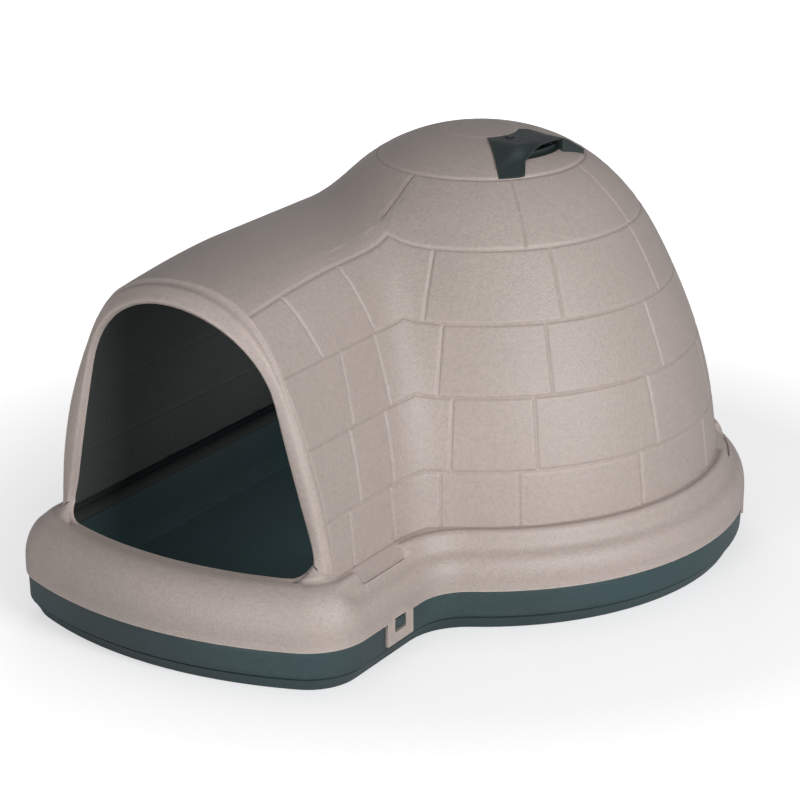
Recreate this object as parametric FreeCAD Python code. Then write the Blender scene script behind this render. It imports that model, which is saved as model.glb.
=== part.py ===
import FreeCAD, Part
import math
import os

from FreeCAD import Placement, Rotation, Vector

# Igloo-shaped dog house, in millimetres.
# +Z is up and the floor is z = 0. The Z axis is the upright axis of the dome.
# The doorway looks along -Y, and the entrance tunnel stands off to the dome's left, at -X.

# ---- driving dimensions ----------------------------------------------------------------
# Dome: radius and height of each ring of moulded blocks, from the apex down
dome_top = 649.0
cap_rim_radius, cap_rim_height = 54.6, 645.5
ring_1_radius, ring_1_height = 158.0, 608.0
ring_2_radius, ring_2_height = 244.0, 526.0
ring_3_radius, ring_3_height = 297.0, 430.0
ring_4_radius, ring_4_height = 336.0, 332.0
ring_5_radius, ring_5_height = 361.5, 228.0
wall_foot_radius, wall_foot_height = 371.8, 148.0
wall_foot_draft = 0.12           # outward run per unit of fall at the foot

# Entrance tunnel
tunnel_offset = 127.0            # tunnel's middle plane, left of the dome's axis
tunnel_inset = 2.0               # how far the left wall lies inside the dome's tangent
tunnel_ridge_height = 556.0      # level part of the roof
tunnel_shoulder = 114.0          # half width where the roof turns down into the wall
tunnel_level_length = 400.0      # the roof is level this far forward of the dome's axis
door_ridge_height = 530.0        # roof height carried on to the door end
door_shoulder_drop = 32.0        # how much lower the shoulder is at the door end
door_end = 700.0                 # forward end of the roof before the front is shaped

# Bowed front and its doorway
front_reach = 669.0              # front of the bow at the foot, forward of the dome's axis
front_bow_radius = 326.0
front_lean = 0.115               # how much the front leans back per unit of height
front_bead_radius = 28.0         # rolled edge between the front and the walls
door_half_width = 219.7          # at the sill
door_side_lean = 13.9            # degrees from upright
door_sill_height = 146.0
door_top_height = 515.0
door_sill_corner_radius = 25.6

# Flange round the foot of the shell
flange_width = 46.0              # from the wall's foot out to the skirt
flange_front_reach = 711.7       # skirt's front, forward of the dome's axis
flange_front_radius = 609.0      # bow of the skirt's front
flange_corner_radius = 93.4
flange_valley_radius = 80.0      # inner corner where the tunnel meets the dome
skirt_height = 65.6              # lower edge of the skirt above the floor
# Flange section as (reach out, fall) from the wall's foot: bead, hollow, shoulder
flange_section = [(0.0, 0.0), (10.0, 1.0), (19.0, 6.5), (23.0, 16.0), (28.0, 27.0),
                  (38.0, 39.0), (44.0, 51.0), (46.0, 64.0)]
wall_end, wall_end_inside = 100.0, 90.0   # dome and tunnel run down this far inside the flange

# Walls
shell_wall = 5.0
pan_wall = 4.0
pan_floor = 4.0

# Base pan
pan_seat_gap = 0.3               # between the pan's ledge and the skirt
pan_upper_inset = 3.0            # upper band, inside the skirt's face
pan_lower_inset = 12.0           # top of the lower band
pan_foot_inset = 18.0            # bottom edge
pan_band_height = 21.0           # groove between the two bands
pan_band_step = 5.0
pan_foot_chamfer = 3.0
pan_rim_height = 84.0            # top of the rim that locates the shell
pan_rim_gap = 1.2                # rim to the skirt's inner face

# Snap tabs, moulded with the skirt, and the pan's lugs that they catch
tab_width = 66.0
tab_drop = 36.0                  # below the skirt's edge
tab_thickness = 4.0
tab_lap = 14.4                   # part of the tab that lies in the skirt
tab_room = 20.0                  # window and pocket reach this far past the skirt's face
tab_side_reach = 488.0           # side tabs, forward of the dome's axis
tab_rear_angle = 31.0            # rear tabs, degrees behind the dome's widest line
tab_gap = 1.0
window_width, window_height = 29.0, 22.0
window_sill = 16.0               # bar left under the window
lug_gap = 2.0
notch_width = 118.0              # flat cut in the flange's upper step over each tab
notch_depth = 18.0
notch_end = 6.0                  # the cut stops this far inside the skirt's face
slot_length, slot_width = 93.0, 3.0
slot_inset = 26.0                # slot's middle, inside the skirt's face
slot_depth = 30.0

# Roof vent
vent_angle = -10.8               # middle of the vent, degrees from +X
hood_half_angle = 38.7
hood_thickness = 2.5
hood_gap = 0.4
mouth_reach = 125.0              # scoop's mouth from the dome's axis
mouth_half_width = 46.0
mouth_corner_radius = 14.0
mouth_depth = 10.0               # the arch is cut back this far from the scoop's front
scoop_half_flat = 40.0           # flat roof of the scoop, each side of its middle
scoop_half_foot, scoop_foot_height = 98.0, 615.0
throat_inner_radius, throat_outer_radius = 76.0, 116.0
throat_half_angle = 18.5
rain_lip_width, rain_lip_height = 3.0, 6.0
pin_radius, pin_length = 2.5, 6.0
pin_head_radius, pin_head_thickness = 6.0, 1.6
pin_reach = 68.0                 # push pin from the dome's axis
pin_angle = -9.5                 # from the vent's middle

# Apex cap, its stem and the rotary shutter under the roof
cap_thickness = 3.0             # at its rim
cap_gap = 0.4
stem_radius, stem_end = 10.0, 606.0
stem_hole_gap = 0.3
boss_radius, boss_end = 22.0, 628.0
hub_radius, hub_height = 22.0, 9.0
hub_fit = 0.08
hub_end_gap = 0.4
blade_thickness = 2.5
blade_gap = 2.0
blade_half_angle = 20.5
blade_lead = 18.5                # blade's middle, in degrees past the finger tab
finger_rest = -4.0               # finger tab as it stands, from the vent's middle
blade_outer_radius = 124.0
finger_thickness, finger_length, finger_height = 4.0, 14.0, 16.0
finger_radius = 104.0            # finger tab's middle from the dome's axis
clip_radius, clip_thickness = 17.0, 3.0

# ---- derived dimensions ------------------------------------------------------------------
flange_radius = wall_foot_radius + flange_width
dome_profile = [
    (0.0, dome_top),
    (cap_rim_radius, cap_rim_height),
    (ring_1_radius, ring_1_height),
    (ring_2_radius, ring_2_height),
    (ring_3_radius, ring_3_height),
    (ring_4_radius, ring_4_height),
    (ring_5_radius, ring_5_height),
    (wall_foot_radius, wall_foot_height),
]
# Flange section as (outset from the skirt's face, height)
flange_profile = [(reach - flange_width, wall_foot_height - fall) for reach, fall in flange_section]
flange_profile.append((0.0, skirt_height))
tab_bottom = skirt_height - tab_drop
window_bottom = tab_bottom + window_sill
window_top = window_bottom + window_height
notch_floor = wall_foot_height - notch_depth
# Where each tab stands on the skirt: (x, y, outward direction in degrees)
tab_places = [
    (flange_radius - 2.0 * tunnel_offset, -tab_side_reach, 0.0),
    (-flange_radius, -tab_side_reach, 180.0),
]
for tab_direction in (tab_rear_angle, 180.0 - tab_rear_angle):
    tab_places.append((flange_radius * math.cos(math.radians(tab_direction)),
                       flange_radius * math.sin(math.radians(tab_direction)),
                       tab_direction))
far = 1000.0                     # reach of a cutting solid past the part


# ---- helpers ------------------------------------------------------------------------------
def shift_points(points, depth):
    """Move the points of an outline that runs outward and down by depth along its normals."""
    moved = []
    last = len(points) - 1
    for i, (across, height) in enumerate(points):
        before, after = points[max(i - 1, 0)], points[min(i + 1, last)]
        run, fall = after[0] - before[0], after[1] - before[1]
        length = math.hypot(run, fall)
        moved.append((across - depth * -fall / length, height - depth * run / length))
    return moved


def spline_edge(points, start=None, end=None):
    curve = Part.BSplineCurve()
    if start is None:
        curve.interpolate(Points=points)
    else:
        curve.interpolate(Points=points, InitialTangent=start, FinalTangent=end)
    return curve.toShape()


def arc(start, through, end):
    return Part.Arc(start, through, end).toShape()


def polygon_edges(points):
    closed = points + points[:1]
    return [Part.makeLine(a, b) for a, b in zip(closed, closed[1:])]


def turned(shape, degrees):
    copy = shape.copy()
    copy.rotate(Vector(0, 0, 0), Vector(0, 0, 1), degrees)
    return copy


def placed(shape, place):
    """Move a shape drawn at the origin, outward along +X, onto a place on the skirt."""
    x, y, direction = place
    copy = shape.copy()
    copy.Placement = Placement(Vector(x, y, 0), Rotation(Vector(0, 0, 1), direction))
    return copy


def box(x0, x1, y0, y1, z0, z1):
    return Part.makeBox(x1 - x0, y1 - y0, z1 - z0, Vector(x0, y0, z0))


def cylinder(radius, bottom, top):
    return Part.makeCylinder(radius, top - bottom, Vector(0, 0, bottom))


def upright(x0, x1, z0, z1):
    """Rectangle in the XZ plane."""
    return Part.Face(Part.Wire(polygon_edges([Vector(x0, 0, z0), Vector(x1, 0, z0),
                                              Vector(x1, 0, z1), Vector(x0, 0, z1)])))


def vent_sweep(section, half_angle, lead=0.0):
    """Turn a half section about the Z axis, to both sides of the vent's middle line or past it."""
    body = section.revolve(Vector(0, 0, 0), Vector(0, 0, 1), 2.0 * half_angle)
    return turned(Part.makeSolid(body.Shells[0]), vent_angle + lead - half_angle)


def save(name, shape):
    shape = shape.removeSplitter()
    solids = shape.Solids
    shape = solids[0] if len(solids) == 1 else Part.makeCompound(solids)
    print(name, "solids", len(solids), "valid", shape.isValid(), "volume", round(shape.Volume))
    shape.exportStep("parts/" + name + ".step")


# ---- plan outline shared by the flange and the pan --------------------------------------------
def plan_outline(outset, height):
    """Dome circle and rounded tunnel foot in one closed outline, parallel to the skirt's face."""
    radius = flange_radius + outset
    side = radius - tunnel_offset
    corner = flange_corner_radius + outset
    bow = flange_front_radius + outset
    valley = flange_valley_radius - outset
    right = radius - 2.0 * tunnel_offset

    bow_middle = Vector(-tunnel_offset, flange_front_radius - flange_front_reach, height)
    corner_forward = math.sqrt((bow - corner) ** 2 - (side - corner) ** 2)
    corner_y = bow_middle.y - corner_forward
    valley_y = -math.sqrt((radius + valley) ** 2 - (right + valley) ** 2)
    valley_middle = Vector(right + valley, valley_y, height)
    meet = Vector(valley_middle.x, valley_middle.y, 0) * (radius / (radius + valley))

    def bow_end(sign):
        toward = Vector(sign * (side - corner), -corner_forward, 0) * (bow / (bow - corner))
        return bow_middle + toward

    def corner_mid(sign):
        middle = Vector(-tunnel_offset + sign * (side - corner), corner_y, height)
        direction = (bow_end(sign) - middle).normalize() + Vector(sign, 0, 0)
        return middle + direction.normalize() * corner

    dome_start = Vector(meet.x, meet.y, height)
    dome_end = Vector(-radius, 0, height)
    left_front = Vector(-radius, corner_y, height)
    right_front = Vector(right, corner_y, height)
    right_back = Vector(right, valley_y, height)
    valley_half = (Vector(-1, 0, 0) + (dome_start - valley_middle).normalize()).normalize()
    half_turn = math.radians(45.0)
    edges = [
        arc(dome_start, Vector(radius * math.cos(half_turn), radius * math.sin(half_turn), height),
            dome_end),
        Part.makeLine(dome_end, left_front),
        arc(left_front, corner_mid(-1), bow_end(-1)),
        arc(bow_end(-1), bow_middle + Vector(0, -bow, 0), bow_end(1)),
        arc(bow_end(1), corner_mid(1), right_front),
        Part.makeLine(right_front, right_back),
        arc(right_back, valley_middle + valley_half * valley, dome_start),
    ]
    return Part.Wire(edges)


def stack(profile):
    """Solid whose side follows a list of (outset, height) round the plan outline."""
    return Part.makeLoft([plan_outline(outset, height) for outset, height in profile], True, True)


# ---- shell ----------------------------------------------------------------------------------
def dome_half(depth, bottom):
    """Half section of the dome in the XZ plane, set in by depth and closed down to bottom."""
    points = [Vector(r, 0, z) for r, z in shift_points(dome_profile, depth)]
    points[0].x = 0.0
    side = spline_edge(points, Vector(1, 0, 0), Vector(wall_foot_draft, 0, -1))
    foot, axis = Vector(points[-1].x, 0, bottom), Vector(0, 0, bottom)
    return Part.Face(Part.Wire([side, Part.makeLine(points[-1], foot), Part.makeLine(foot, axis),
                                Part.makeLine(axis, points[0])]))


def dome_solid(depth, bottom):
    """Whole dome, with its seam at the back."""
    body = dome_half(depth, bottom).revolve(Vector(0, 0, 0), Vector(0, 0, 1), 360.0)
    return turned(Part.makeSolid(body.Shells[0]), 90.0 - depth)


def skin_band(outer_depth, inner_depth, inner_radius, outer_radius):
    """Strip of the dome's half section between two depths and two radii."""
    strip = dome_half(outer_depth, 0.0).cut(dome_half(inner_depth, -1.0))
    return strip.common(upright(inner_radius, outer_radius, ring_2_height, far)).Faces[0]


def skin_height(radius, depth=0.0):
    """Height of the dome's skin at a radius inside its first two rings."""
    needle = upright(radius, radius + 0.01, ring_2_height, far)
    return needle.common(dome_half(depth, 0.0)).BoundBox.ZMax


def tunnel_section(y, shoulder_height, ridge_height, depth, bottom):
    """One arch of the tunnel, whose walls follow the dome's rings."""
    levels = [(tunnel_shoulder, shoulder_height)]
    for radius, height in dome_profile[4:]:
        levels.append((radius - tunnel_offset - tunnel_inset, height))
    levels = shift_points([(0.0, ridge_height)] + levels, depth)
    right = [Vector(-tunnel_offset + u, y, z) for u, z in levels]
    left = [Vector(-tunnel_offset - u, y, z) for u, z in levels]
    right[0] = left[0] = Vector(-tunnel_offset, y, ridge_height - depth)
    arch = spline_edge(list(reversed(left)) + right[1:])
    foot_right = Vector(right[-1].x, y, bottom)
    foot_left = Vector(left[-1].x, y, bottom)
    return Part.Wire([arch, Part.makeLine(right[-1], foot_right),
                      Part.makeLine(foot_right, foot_left), Part.makeLine(foot_left, left[-1])])


def front_nose(depth):
    """Everything behind the bowed, leaning front."""
    axis_y = front_bow_radius - front_reach - front_lean * wall_foot_height
    bow = Part.makeCylinder(front_bow_radius - depth, far, Vector(-tunnel_offset, axis_y, 0),
                            Vector(0, front_lean, 1))
    side = [Vector(-far, axis_y, 0), Vector(-far, axis_y + front_lean * far, far),
            Vector(-far, far, far), Vector(-far, far, 0)]
    behind = Part.Face(Part.Wire(polygon_edges(side))).extrude(Vector(2.0 * far, 0, 0))
    return bow.fuse(behind)


def tunnel_solid(depth, bottom, bead):
    shoulder = ring_2_height
    sections = [tunnel_section(-door_end, shoulder - door_shoulder_drop, door_ridge_height,
                               depth, bottom)]
    for y in (-tunnel_level_length, -0.5 * tunnel_level_length, 0.0):
        sections.append(tunnel_section(y, shoulder, tunnel_ridge_height, depth, bottom))
    body = Part.makeLoft(sections, True, False).common(front_nose(depth))
    if bead > 0.0:
        rolled = [e for e in body.Edges if is_front_edge(e, bottom)]
        body = body.makeFillet(bead, rolled)
    return body


def is_front_edge(edge, bottom):
    """Edges where the bowed front meets the walls and roof."""
    box_ = edge.BoundBox
    return box_.YMin > -front_reach and box_.YMax < -tunnel_level_length and box_.ZMax > bottom + 1.0


def doorway():
    """Doorway outline: sill, leaning sides and one round top, cut along Y."""
    lean = math.radians(door_side_lean)
    slope, rise = math.sin(lean), math.cos(lean)
    drop = door_top_height - door_sill_height
    top_radius = (door_half_width * rise - drop * slope) / (1.0 - slope)
    top_middle = door_top_height - top_radius
    corner = door_sill_corner_radius
    corner_x = door_half_width - corner * (1.0 + slope) / rise
    corner_z = door_sill_height + corner

    def point(u, z):
        return Vector(-tunnel_offset + u, -far, z)

    def side_points(sign):
        low = point(sign * (corner_x + corner * rise), corner_z + corner * slope)
        high = point(sign * top_radius * rise, top_middle + top_radius * slope)
        bend = math.radians(45.0 - 0.5 * door_side_lean)
        mid = point(sign * (corner_x + corner * math.cos(bend)), corner_z - corner * math.sin(bend))
        return point(sign * corner_x, door_sill_height), mid, low, high

    right, left = side_points(1), side_points(-1)
    edges = [
        Part.makeLine(left[0], right[0]),
        arc(right[0], right[1], right[2]),
        Part.makeLine(right[2], right[3]),
        arc(right[3], point(0, door_top_height), left[3]),
        Part.makeLine(left[3], left[2]),
        arc(left[2], left[1], left[0]),
    ]
    opening = Part.Face(Part.Wire(edges))
    return opening.extrude(Vector(0, far - tunnel_level_length, 0))


def notch(extra):
    """Flat cut over a tab, drawn at the origin; extra makes the inner, larger copy."""
    return box(-flange_width - extra, -notch_end + extra, -0.5 * notch_width - extra,
               0.5 * notch_width + extra, notch_floor - extra, wall_foot_height + 1.0 + extra)


def tab():
    plate = box(-tab_thickness, 0.0, -0.5 * tab_width, 0.5 * tab_width, tab_bottom,
                skirt_height + tab_lap)
    window = box(-far, far, -0.5 * window_width, 0.5 * window_width, window_bottom, window_top)
    return plate.cut(window), window


def upper_shell():
    outer = dome_solid(0.0, wall_end).fuse(tunnel_solid(0.0, wall_end, front_bead_radius))
    outer = outer.fuse(stack(flange_profile))
    inner_flange = shift_points(flange_profile, shell_wall)
    inner_flange.append((inner_flange[-1][0], skirt_height - 5.0))
    inner = dome_solid(shell_wall, wall_end_inside)
    inner = inner.fuse(tunnel_solid(shell_wall, wall_end_inside, 0.0))
    inner = inner.fuse(stack(inner_flange))
    for place in tab_places:
        outer = outer.cut(placed(notch(0.0), place))
        inner = inner.cut(placed(notch(shell_wall), place))
    boss = cylinder(boss_radius, boss_end, dome_top)
    seat = cylinder(cap_rim_radius + shell_wall, cap_seat() - shell_wall, dome_top)
    inner = inner.cut(boss.fuse(seat))
    shell = outer.cut(inner).cut(doorway())
    shell = shell.cut(hood_plate(-1.0, hood_thickness, 0.0)).cut(throat()).fuse(rain_lip())
    shell = shell.cut(cylinder(cap_rim_radius + cap_gap, cap_seat(), far))
    shell = shell.cut(cylinder(stem_radius + stem_hole_gap, ring_2_height, far))
    shell = shell.cut(pin_hole())
    plate, window = tab()
    slot = box(-slot_inset - 0.5 * slot_width, -slot_inset + 0.5 * slot_width,
               -0.5 * slot_length, 0.5 * slot_length, notch_floor - slot_depth, notch_floor + 1.0)
    for place in tab_places:
        shell = shell.fuse(placed(plate, place)).cut(placed(window, place).common(
            placed(box(-tab_room, tab_room, -far, far, 0.0, window_top), place)))
        shell = shell.cut(placed(slot, place))
    return shell


# ---- roof vent ------------------------------------------------------------------------------
def cap_seat():
    """Height of the seat under the apex cap."""
    return cap_rim_height - cap_thickness


def vent_box(reach_in, reach_out, left, right):
    """Upright box over the vent, outward from the axis and to the left and right of the middle."""
    return turned(box(reach_in, reach_out, -left, right, ring_2_height, far), vent_angle)


def hood_plate(outer_depth, inner_depth, gap):
    """Sector of the roof's top ring without the bare apron in front of the scoop."""
    band = skin_band(outer_depth, inner_depth, cap_rim_radius + gap, ring_1_radius - gap)
    plate = vent_sweep(band, hood_half_angle - math.degrees(gap / ring_1_radius))
    return plate.cut(vent_box(mouth_reach - gap, far, mouth_half_width + gap, far))


def scoop(depth, reach):
    """Raised hump of the hood, flat on top with sloping flanks, outward to reach."""
    top, shoulder = cap_rim_height - depth, scoop_foot_height - depth
    flat, wide = scoop_half_flat, scoop_half_foot - depth
    outline = [Vector(0, -wide, ring_2_height), Vector(0, -wide, shoulder), Vector(0, -flat, top),
               Vector(0, flat, top), Vector(0, wide, shoulder), Vector(0, wide, ring_2_height)]
    body = Part.Face(Part.Wire(polygon_edges(outline))).extrude(Vector(reach, 0, 0))
    return turned(body, vent_angle)


def mouth():
    """Arched opening through the front of the scoop."""
    half = mouth_half_width - hood_thickness
    top, bottom = cap_rim_height - hood_thickness, ring_2_height
    corner = mouth_corner_radius
    bend = corner * (1.0 - math.cos(math.radians(45.0)))

    def side(sign):
        return (Vector(0, sign * half, bottom), Vector(0, sign * half, top - corner),
                Vector(0, sign * (half - bend), top - bend), Vector(0, sign * (half - corner), top))

    left, right = side(-1), side(1)
    outline = Part.Wire([Part.makeLine(left[0], left[1]), arc(left[1], left[2], left[3]),
                         Part.makeLine(left[3], right[3]), arc(right[3], right[2], right[1]),
                         Part.makeLine(right[1], right[0]), Part.makeLine(right[0], left[0])])
    opening = Part.Face(outline).extrude(Vector(far, 0, 0))
    return turned(opening, vent_angle).cut(vent_box(-far, mouth_reach - mouth_depth, far, far))


def throat():
    """Opening in the roof under the scoop."""
    section = upright(throat_inner_radius, throat_outer_radius, ring_2_height, dome_top)
    return vent_sweep(section, throat_half_angle)


def rain_lip():
    """Low dam at the throat's outer edge."""
    outer = throat_outer_radius + rain_lip_width
    roof = skin_height(outer)
    section = upright(throat_outer_radius, outer, roof - hood_thickness - rain_lip_width * 0.5,
                      roof + rain_lip_height)
    return vent_sweep(section, throat_half_angle)


def vent_hood():
    raised = scoop(0.0, mouth_reach).cut(dome_solid(0.0, 0.0))
    hood = hood_plate(0.0, hood_thickness - hood_gap, hood_gap).fuse(raised)
    hood = hood.cut(scoop(hood_thickness, mouth_reach - hood_thickness)).cut(mouth())
    hood = hood.cut(cylinder(cap_rim_radius + hood_gap, 0.0, far))
    return hood.cut(pin_hole())


def pin_hole():
    return turned(Part.makeCylinder(pin_radius + hood_gap, far, Vector(pin_reach, 0, ring_2_height)),
                  vent_angle + pin_angle)


def vent_pin():
    """Push pin that holds the hood down beside the apex cap."""
    seat = cap_rim_height + hood_gap
    shank = Part.makeCylinder(pin_radius, pin_length + hood_gap + pin_head_thickness,
                              Vector(pin_reach, 0, cap_rim_height - pin_length))
    head = Part.makeCylinder(pin_head_radius, pin_head_thickness, Vector(pin_reach, 0, seat))
    return turned(shank.fuse(head), vent_angle + pin_angle)


def apex_cap():
    disc = dome_solid(0.0, 0.0).common(cylinder(cap_rim_radius, cap_seat(), far))
    return disc.fuse(cylinder(stem_radius, stem_end, cap_seat()))


def vent_shutter():
    hub_top = boss_end - hub_end_gap
    hub = cylinder(hub_radius, hub_top - hub_height, hub_top)
    depth = shell_wall + blade_gap
    web_radius = cap_rim_radius + shell_wall + blade_gap
    blade = skin_band(depth, depth + blade_thickness, web_radius, blade_outer_radius)
    web = upright(web_radius, web_radius + blade_thickness, hub_top - hub_height, far)
    web = web.common(dome_half(depth, 0.0)).Faces[0]
    foot = upright(hub_radius - blade_gap, web_radius + blade_thickness, hub_top - hub_height,
                   hub_top - hub_height + blade_thickness)
    shutter = hub
    for section in (blade, web, foot):
        shutter = shutter.fuse(vent_sweep(section, blade_half_angle, finger_rest + blade_lead))
    root = skin_height(finger_radius, depth + 0.5 * blade_thickness)
    finger = box(finger_radius - 0.5 * finger_length, finger_radius + 0.5 * finger_length,
                 -0.5 * finger_thickness, 0.5 * finger_thickness, root, root + finger_height)
    shutter = shutter.fuse(turned(finger, vent_angle + finger_rest))
    return shutter.cut(cylinder(stem_radius + hub_fit, 0.0, far))


def pivot_clip():
    top = boss_end - 2.0 * hub_end_gap - hub_height
    ring = cylinder(clip_radius, top - clip_thickness, top)
    return ring.cut(cylinder(stem_radius, 0.0, far))


# ---- base pan -----------------------------------------------------------------------------------
def base_pan():
    ledge = skirt_height - pan_seat_gap
    outside = stack([
        (-pan_foot_inset - pan_foot_chamfer, 0.0),
        (-pan_foot_inset, pan_foot_chamfer),
        (-pan_lower_inset, pan_band_height),
        (-pan_upper_inset - 1.0, pan_band_height + pan_band_step),
        (-pan_upper_inset, ledge),
    ])
    rim = -shell_wall - pan_rim_gap
    outside = outside.fuse(stack([(rim, pan_band_height + pan_band_step), (rim, pan_rim_height)]))
    inside = stack([
        (-pan_foot_inset - pan_foot_chamfer - pan_wall, pan_floor),
        (-pan_lower_inset - pan_wall, pan_band_height),
        (rim - pan_wall, pan_band_height + 2.0 * pan_band_step),
        (rim - pan_wall, pan_rim_height + 1.0),
    ])
    pan = outside.cut(inside)
    pocket = box(-tab_thickness - tab_gap, tab_room, -0.5 * tab_width - tab_gap,
                 0.5 * tab_width + tab_gap, tab_bottom - tab_gap, pan_rim_height + 1.0)
    lug = box(-tab_thickness - tab_gap - 1.0, -0.5, -0.5 * window_width + lug_gap,
              0.5 * window_width - lug_gap, window_bottom + lug_gap, ledge - 1.0)
    for place in tab_places:
        pan = pan.cut(placed(pocket, place)).fuse(placed(lug, place))
    return pan


os.makedirs("parts", exist_ok=True)
save("base_pan", base_pan())
save("upper_shell", upper_shell())
save("vent_hood", vent_hood())
save("vent_pin", vent_pin())
save("apex_cap", apex_cap())
save("vent_shutter", vent_shutter())
save("pivot_clip", pivot_clip())
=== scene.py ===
# %% [markdown]
# # A moulded dog house
# The real object is two large plastic mouldings: a pale shell shaped like a block-built
# dome with an entrance tunnel, and a dark pan that it snaps onto. A small dark vent sits in
# the roof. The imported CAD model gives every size. This file builds shell, pan and hood again
# with their moulded detail, inside the CAD's own outline, and gives every piece its finish.

import math

import bpy
import numpy as np
from mathutils import Matrix, Vector


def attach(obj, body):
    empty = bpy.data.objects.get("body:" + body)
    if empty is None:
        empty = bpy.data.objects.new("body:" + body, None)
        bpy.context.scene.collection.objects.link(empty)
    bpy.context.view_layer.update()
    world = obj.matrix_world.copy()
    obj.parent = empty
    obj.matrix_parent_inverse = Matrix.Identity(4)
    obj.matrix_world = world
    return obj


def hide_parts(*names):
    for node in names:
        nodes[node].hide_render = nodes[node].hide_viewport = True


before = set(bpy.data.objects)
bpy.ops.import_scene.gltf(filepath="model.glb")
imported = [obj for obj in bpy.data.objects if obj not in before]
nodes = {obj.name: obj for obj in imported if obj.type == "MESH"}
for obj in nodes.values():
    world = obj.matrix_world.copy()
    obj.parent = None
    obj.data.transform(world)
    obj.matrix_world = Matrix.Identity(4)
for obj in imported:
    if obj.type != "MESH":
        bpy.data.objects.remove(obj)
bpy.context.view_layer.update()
print("nodes", sorted(nodes))

# %% [markdown]
# ## Camera
# The viewpoint was solved from the outline of the object in its picture. A long lens gives
# the mild perspective. The three axes are written out, so the view can't drift.

# %% Camera
lens, sensor = 117.24, 36.0
eye = Vector((1.9763, -3.3012, 1.6266))
right_axis = Vector((0.84197, 0.53949, -0.00607))
up_axis = Vector((-0.18203, 0.29464, 0.93811))
back_axis = right_axis.cross(up_axis)
camera_data = bpy.data.cameras.new("camera")
camera_data.lens, camera_data.sensor_width = lens, sensor
camera_data.clip_end = 100.0
camera = bpy.data.objects.new("camera", camera_data)
turn = Matrix((right_axis, up_axis, back_axis)).transposed().to_4x4()
camera.matrix_world = Matrix.Translation(eye) @ turn
bpy.context.scene.collection.objects.link(camera)
bpy.context.scene.camera = camera
bpy.context.scene.view_settings.view_transform = "Standard"
print("camera stands", round(eye.length, 2), "m from the middle of the dome")

# %% [markdown]
# ## Floor and light
# A pale studio floor catches a soft shadow. Seen straight by the camera it glows, and more so
# further from the object, so it runs out to pure white like paper, while the light that it
# sends back to the object stays plain. A key lamp stands on the right, one before the doorway
# and one behind. A small lamp in the dome keeps the inside as evenly dim as in the picture.

# %% Node helpers
def add_node(tree, kind, place, feeds=None, **settings):
    """Add a node; feeds gives its inputs their values, or the outputs that drive them."""
    node = tree.nodes.new(kind)
    node.location = place
    for name, value in settings.items():
        setattr(node, name, value)
    for key, value in (feeds or {}).items():
        if isinstance(value, bpy.types.NodeSocket):
            tree.links.new(value, node.inputs[key])
        else:
            node.inputs[key].default_value = value
    return node


def spread(tree, place, source, span, to=(0.0, 1.0)):
    """Map one span of values onto another."""
    return add_node(tree, "ShaderNodeMapRange", place,
                    {"Value": source, "From Min": span[0], "From Max": span[1],
                     "To Min": to[0], "To Max": to[1]}).outputs["Result"]


def calculate(tree, operation, first, second, place):
    return add_node(tree, "ShaderNodeMath", place, {0: first, 1: second},
                    operation=operation).outputs[0]


# %% Floor
floor_half = 14.0
floor_mesh = bpy.data.meshes.new("floor")
floor_mesh.from_pydata([(-floor_half, -floor_half, 0), (floor_half, -floor_half, 0),
                        (floor_half, floor_half, 0), (-floor_half, floor_half, 0)],
                       [], [(0, 1, 2, 3)])
floor = bpy.data.objects.new("floor", floor_mesh)
bpy.context.scene.collection.objects.link(floor)

floor_paint = bpy.data.materials.new("floor_paper")
floor_paint.use_nodes = True
tree = floor_paint.node_tree
tree.nodes.clear()
path = add_node(tree, "ShaderNodeLightPath", (-400, 100)).outputs
seen = calculate(tree, "MAXIMUM", path["Is Camera Ray"], path["Is Transmission Ray"], (-200, 100))
middle = add_node(tree, "ShaderNodeTexCoord", (-700, -100)).outputs["Object"]
away = add_node(tree, "ShaderNodeVectorMath", (-500, -100), {0: middle}, operation="LENGTH")
glow_reach, glow_power = (0.66, 1.3), (0.52, 0.92)  # metres from the middle, and strength
paler = spread(tree, (-300, -100), away.outputs["Value"], glow_reach, glow_power)
glow = add_node(tree, "ShaderNodeEmission", (0, -200), {
    "Color": (1, 1, 1, 1), "Strength": calculate(tree, "MULTIPLY", seen, paler, (-100, 200))})
matt = add_node(tree, "ShaderNodeBsdfDiffuse", (0, 0), {"Color": (0.60, 0.60, 0.61, 1)})
both = add_node(tree, "ShaderNodeAddShader", (300, 0), {0: matt.outputs[0], 1: glow.outputs[0]})
add_node(tree, "ShaderNodeOutputMaterial", (600, 0), {"Surface": both.outputs[0]})
floor_mesh.materials.append(floor_paint)
print("floor", 2 * floor_half, "m wide")

# %% Surround and lamps
world = bpy.data.worlds.new("surround")
bpy.context.scene.world = world
world.use_nodes = True
tree = world.node_tree
tree.nodes.clear()
white = add_node(tree, "ShaderNodeBackground", (0, 100), {"Color": (1, 1, 1, 1), "Strength": 1.0})
soft = add_node(tree, "ShaderNodeBackground", (0, -100),
                {"Color": (0.96, 0.98, 1, 1), "Strength": 0.28})
path = add_node(tree, "ShaderNodeLightPath", (-200, 300)).outputs
pick = add_node(tree, "ShaderNodeMixShader", (300, 0),
                {0: path["Is Camera Ray"], 1: soft.outputs[0], 2: white.outputs[0]})
add_node(tree, "ShaderNodeOutputWorld", (600, 0), {"Surface": pick.outputs[0]})


def soft_lamp(name, place, target, size, power):
    """A square softbox that faces the target."""
    light = bpy.data.lights.new(name, "AREA")
    light.shape, light.size, light.energy = "SQUARE", size, power
    lamp = bpy.data.objects.new(name, light)
    aim = (Vector(target) - Vector(place)).to_track_quat("-Z", "Y")
    lamp.matrix_world = Matrix.Translation(Vector(place)) @ aim.to_matrix().to_4x4()
    bpy.context.scene.collection.objects.link(lamp)
    return lamp


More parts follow.
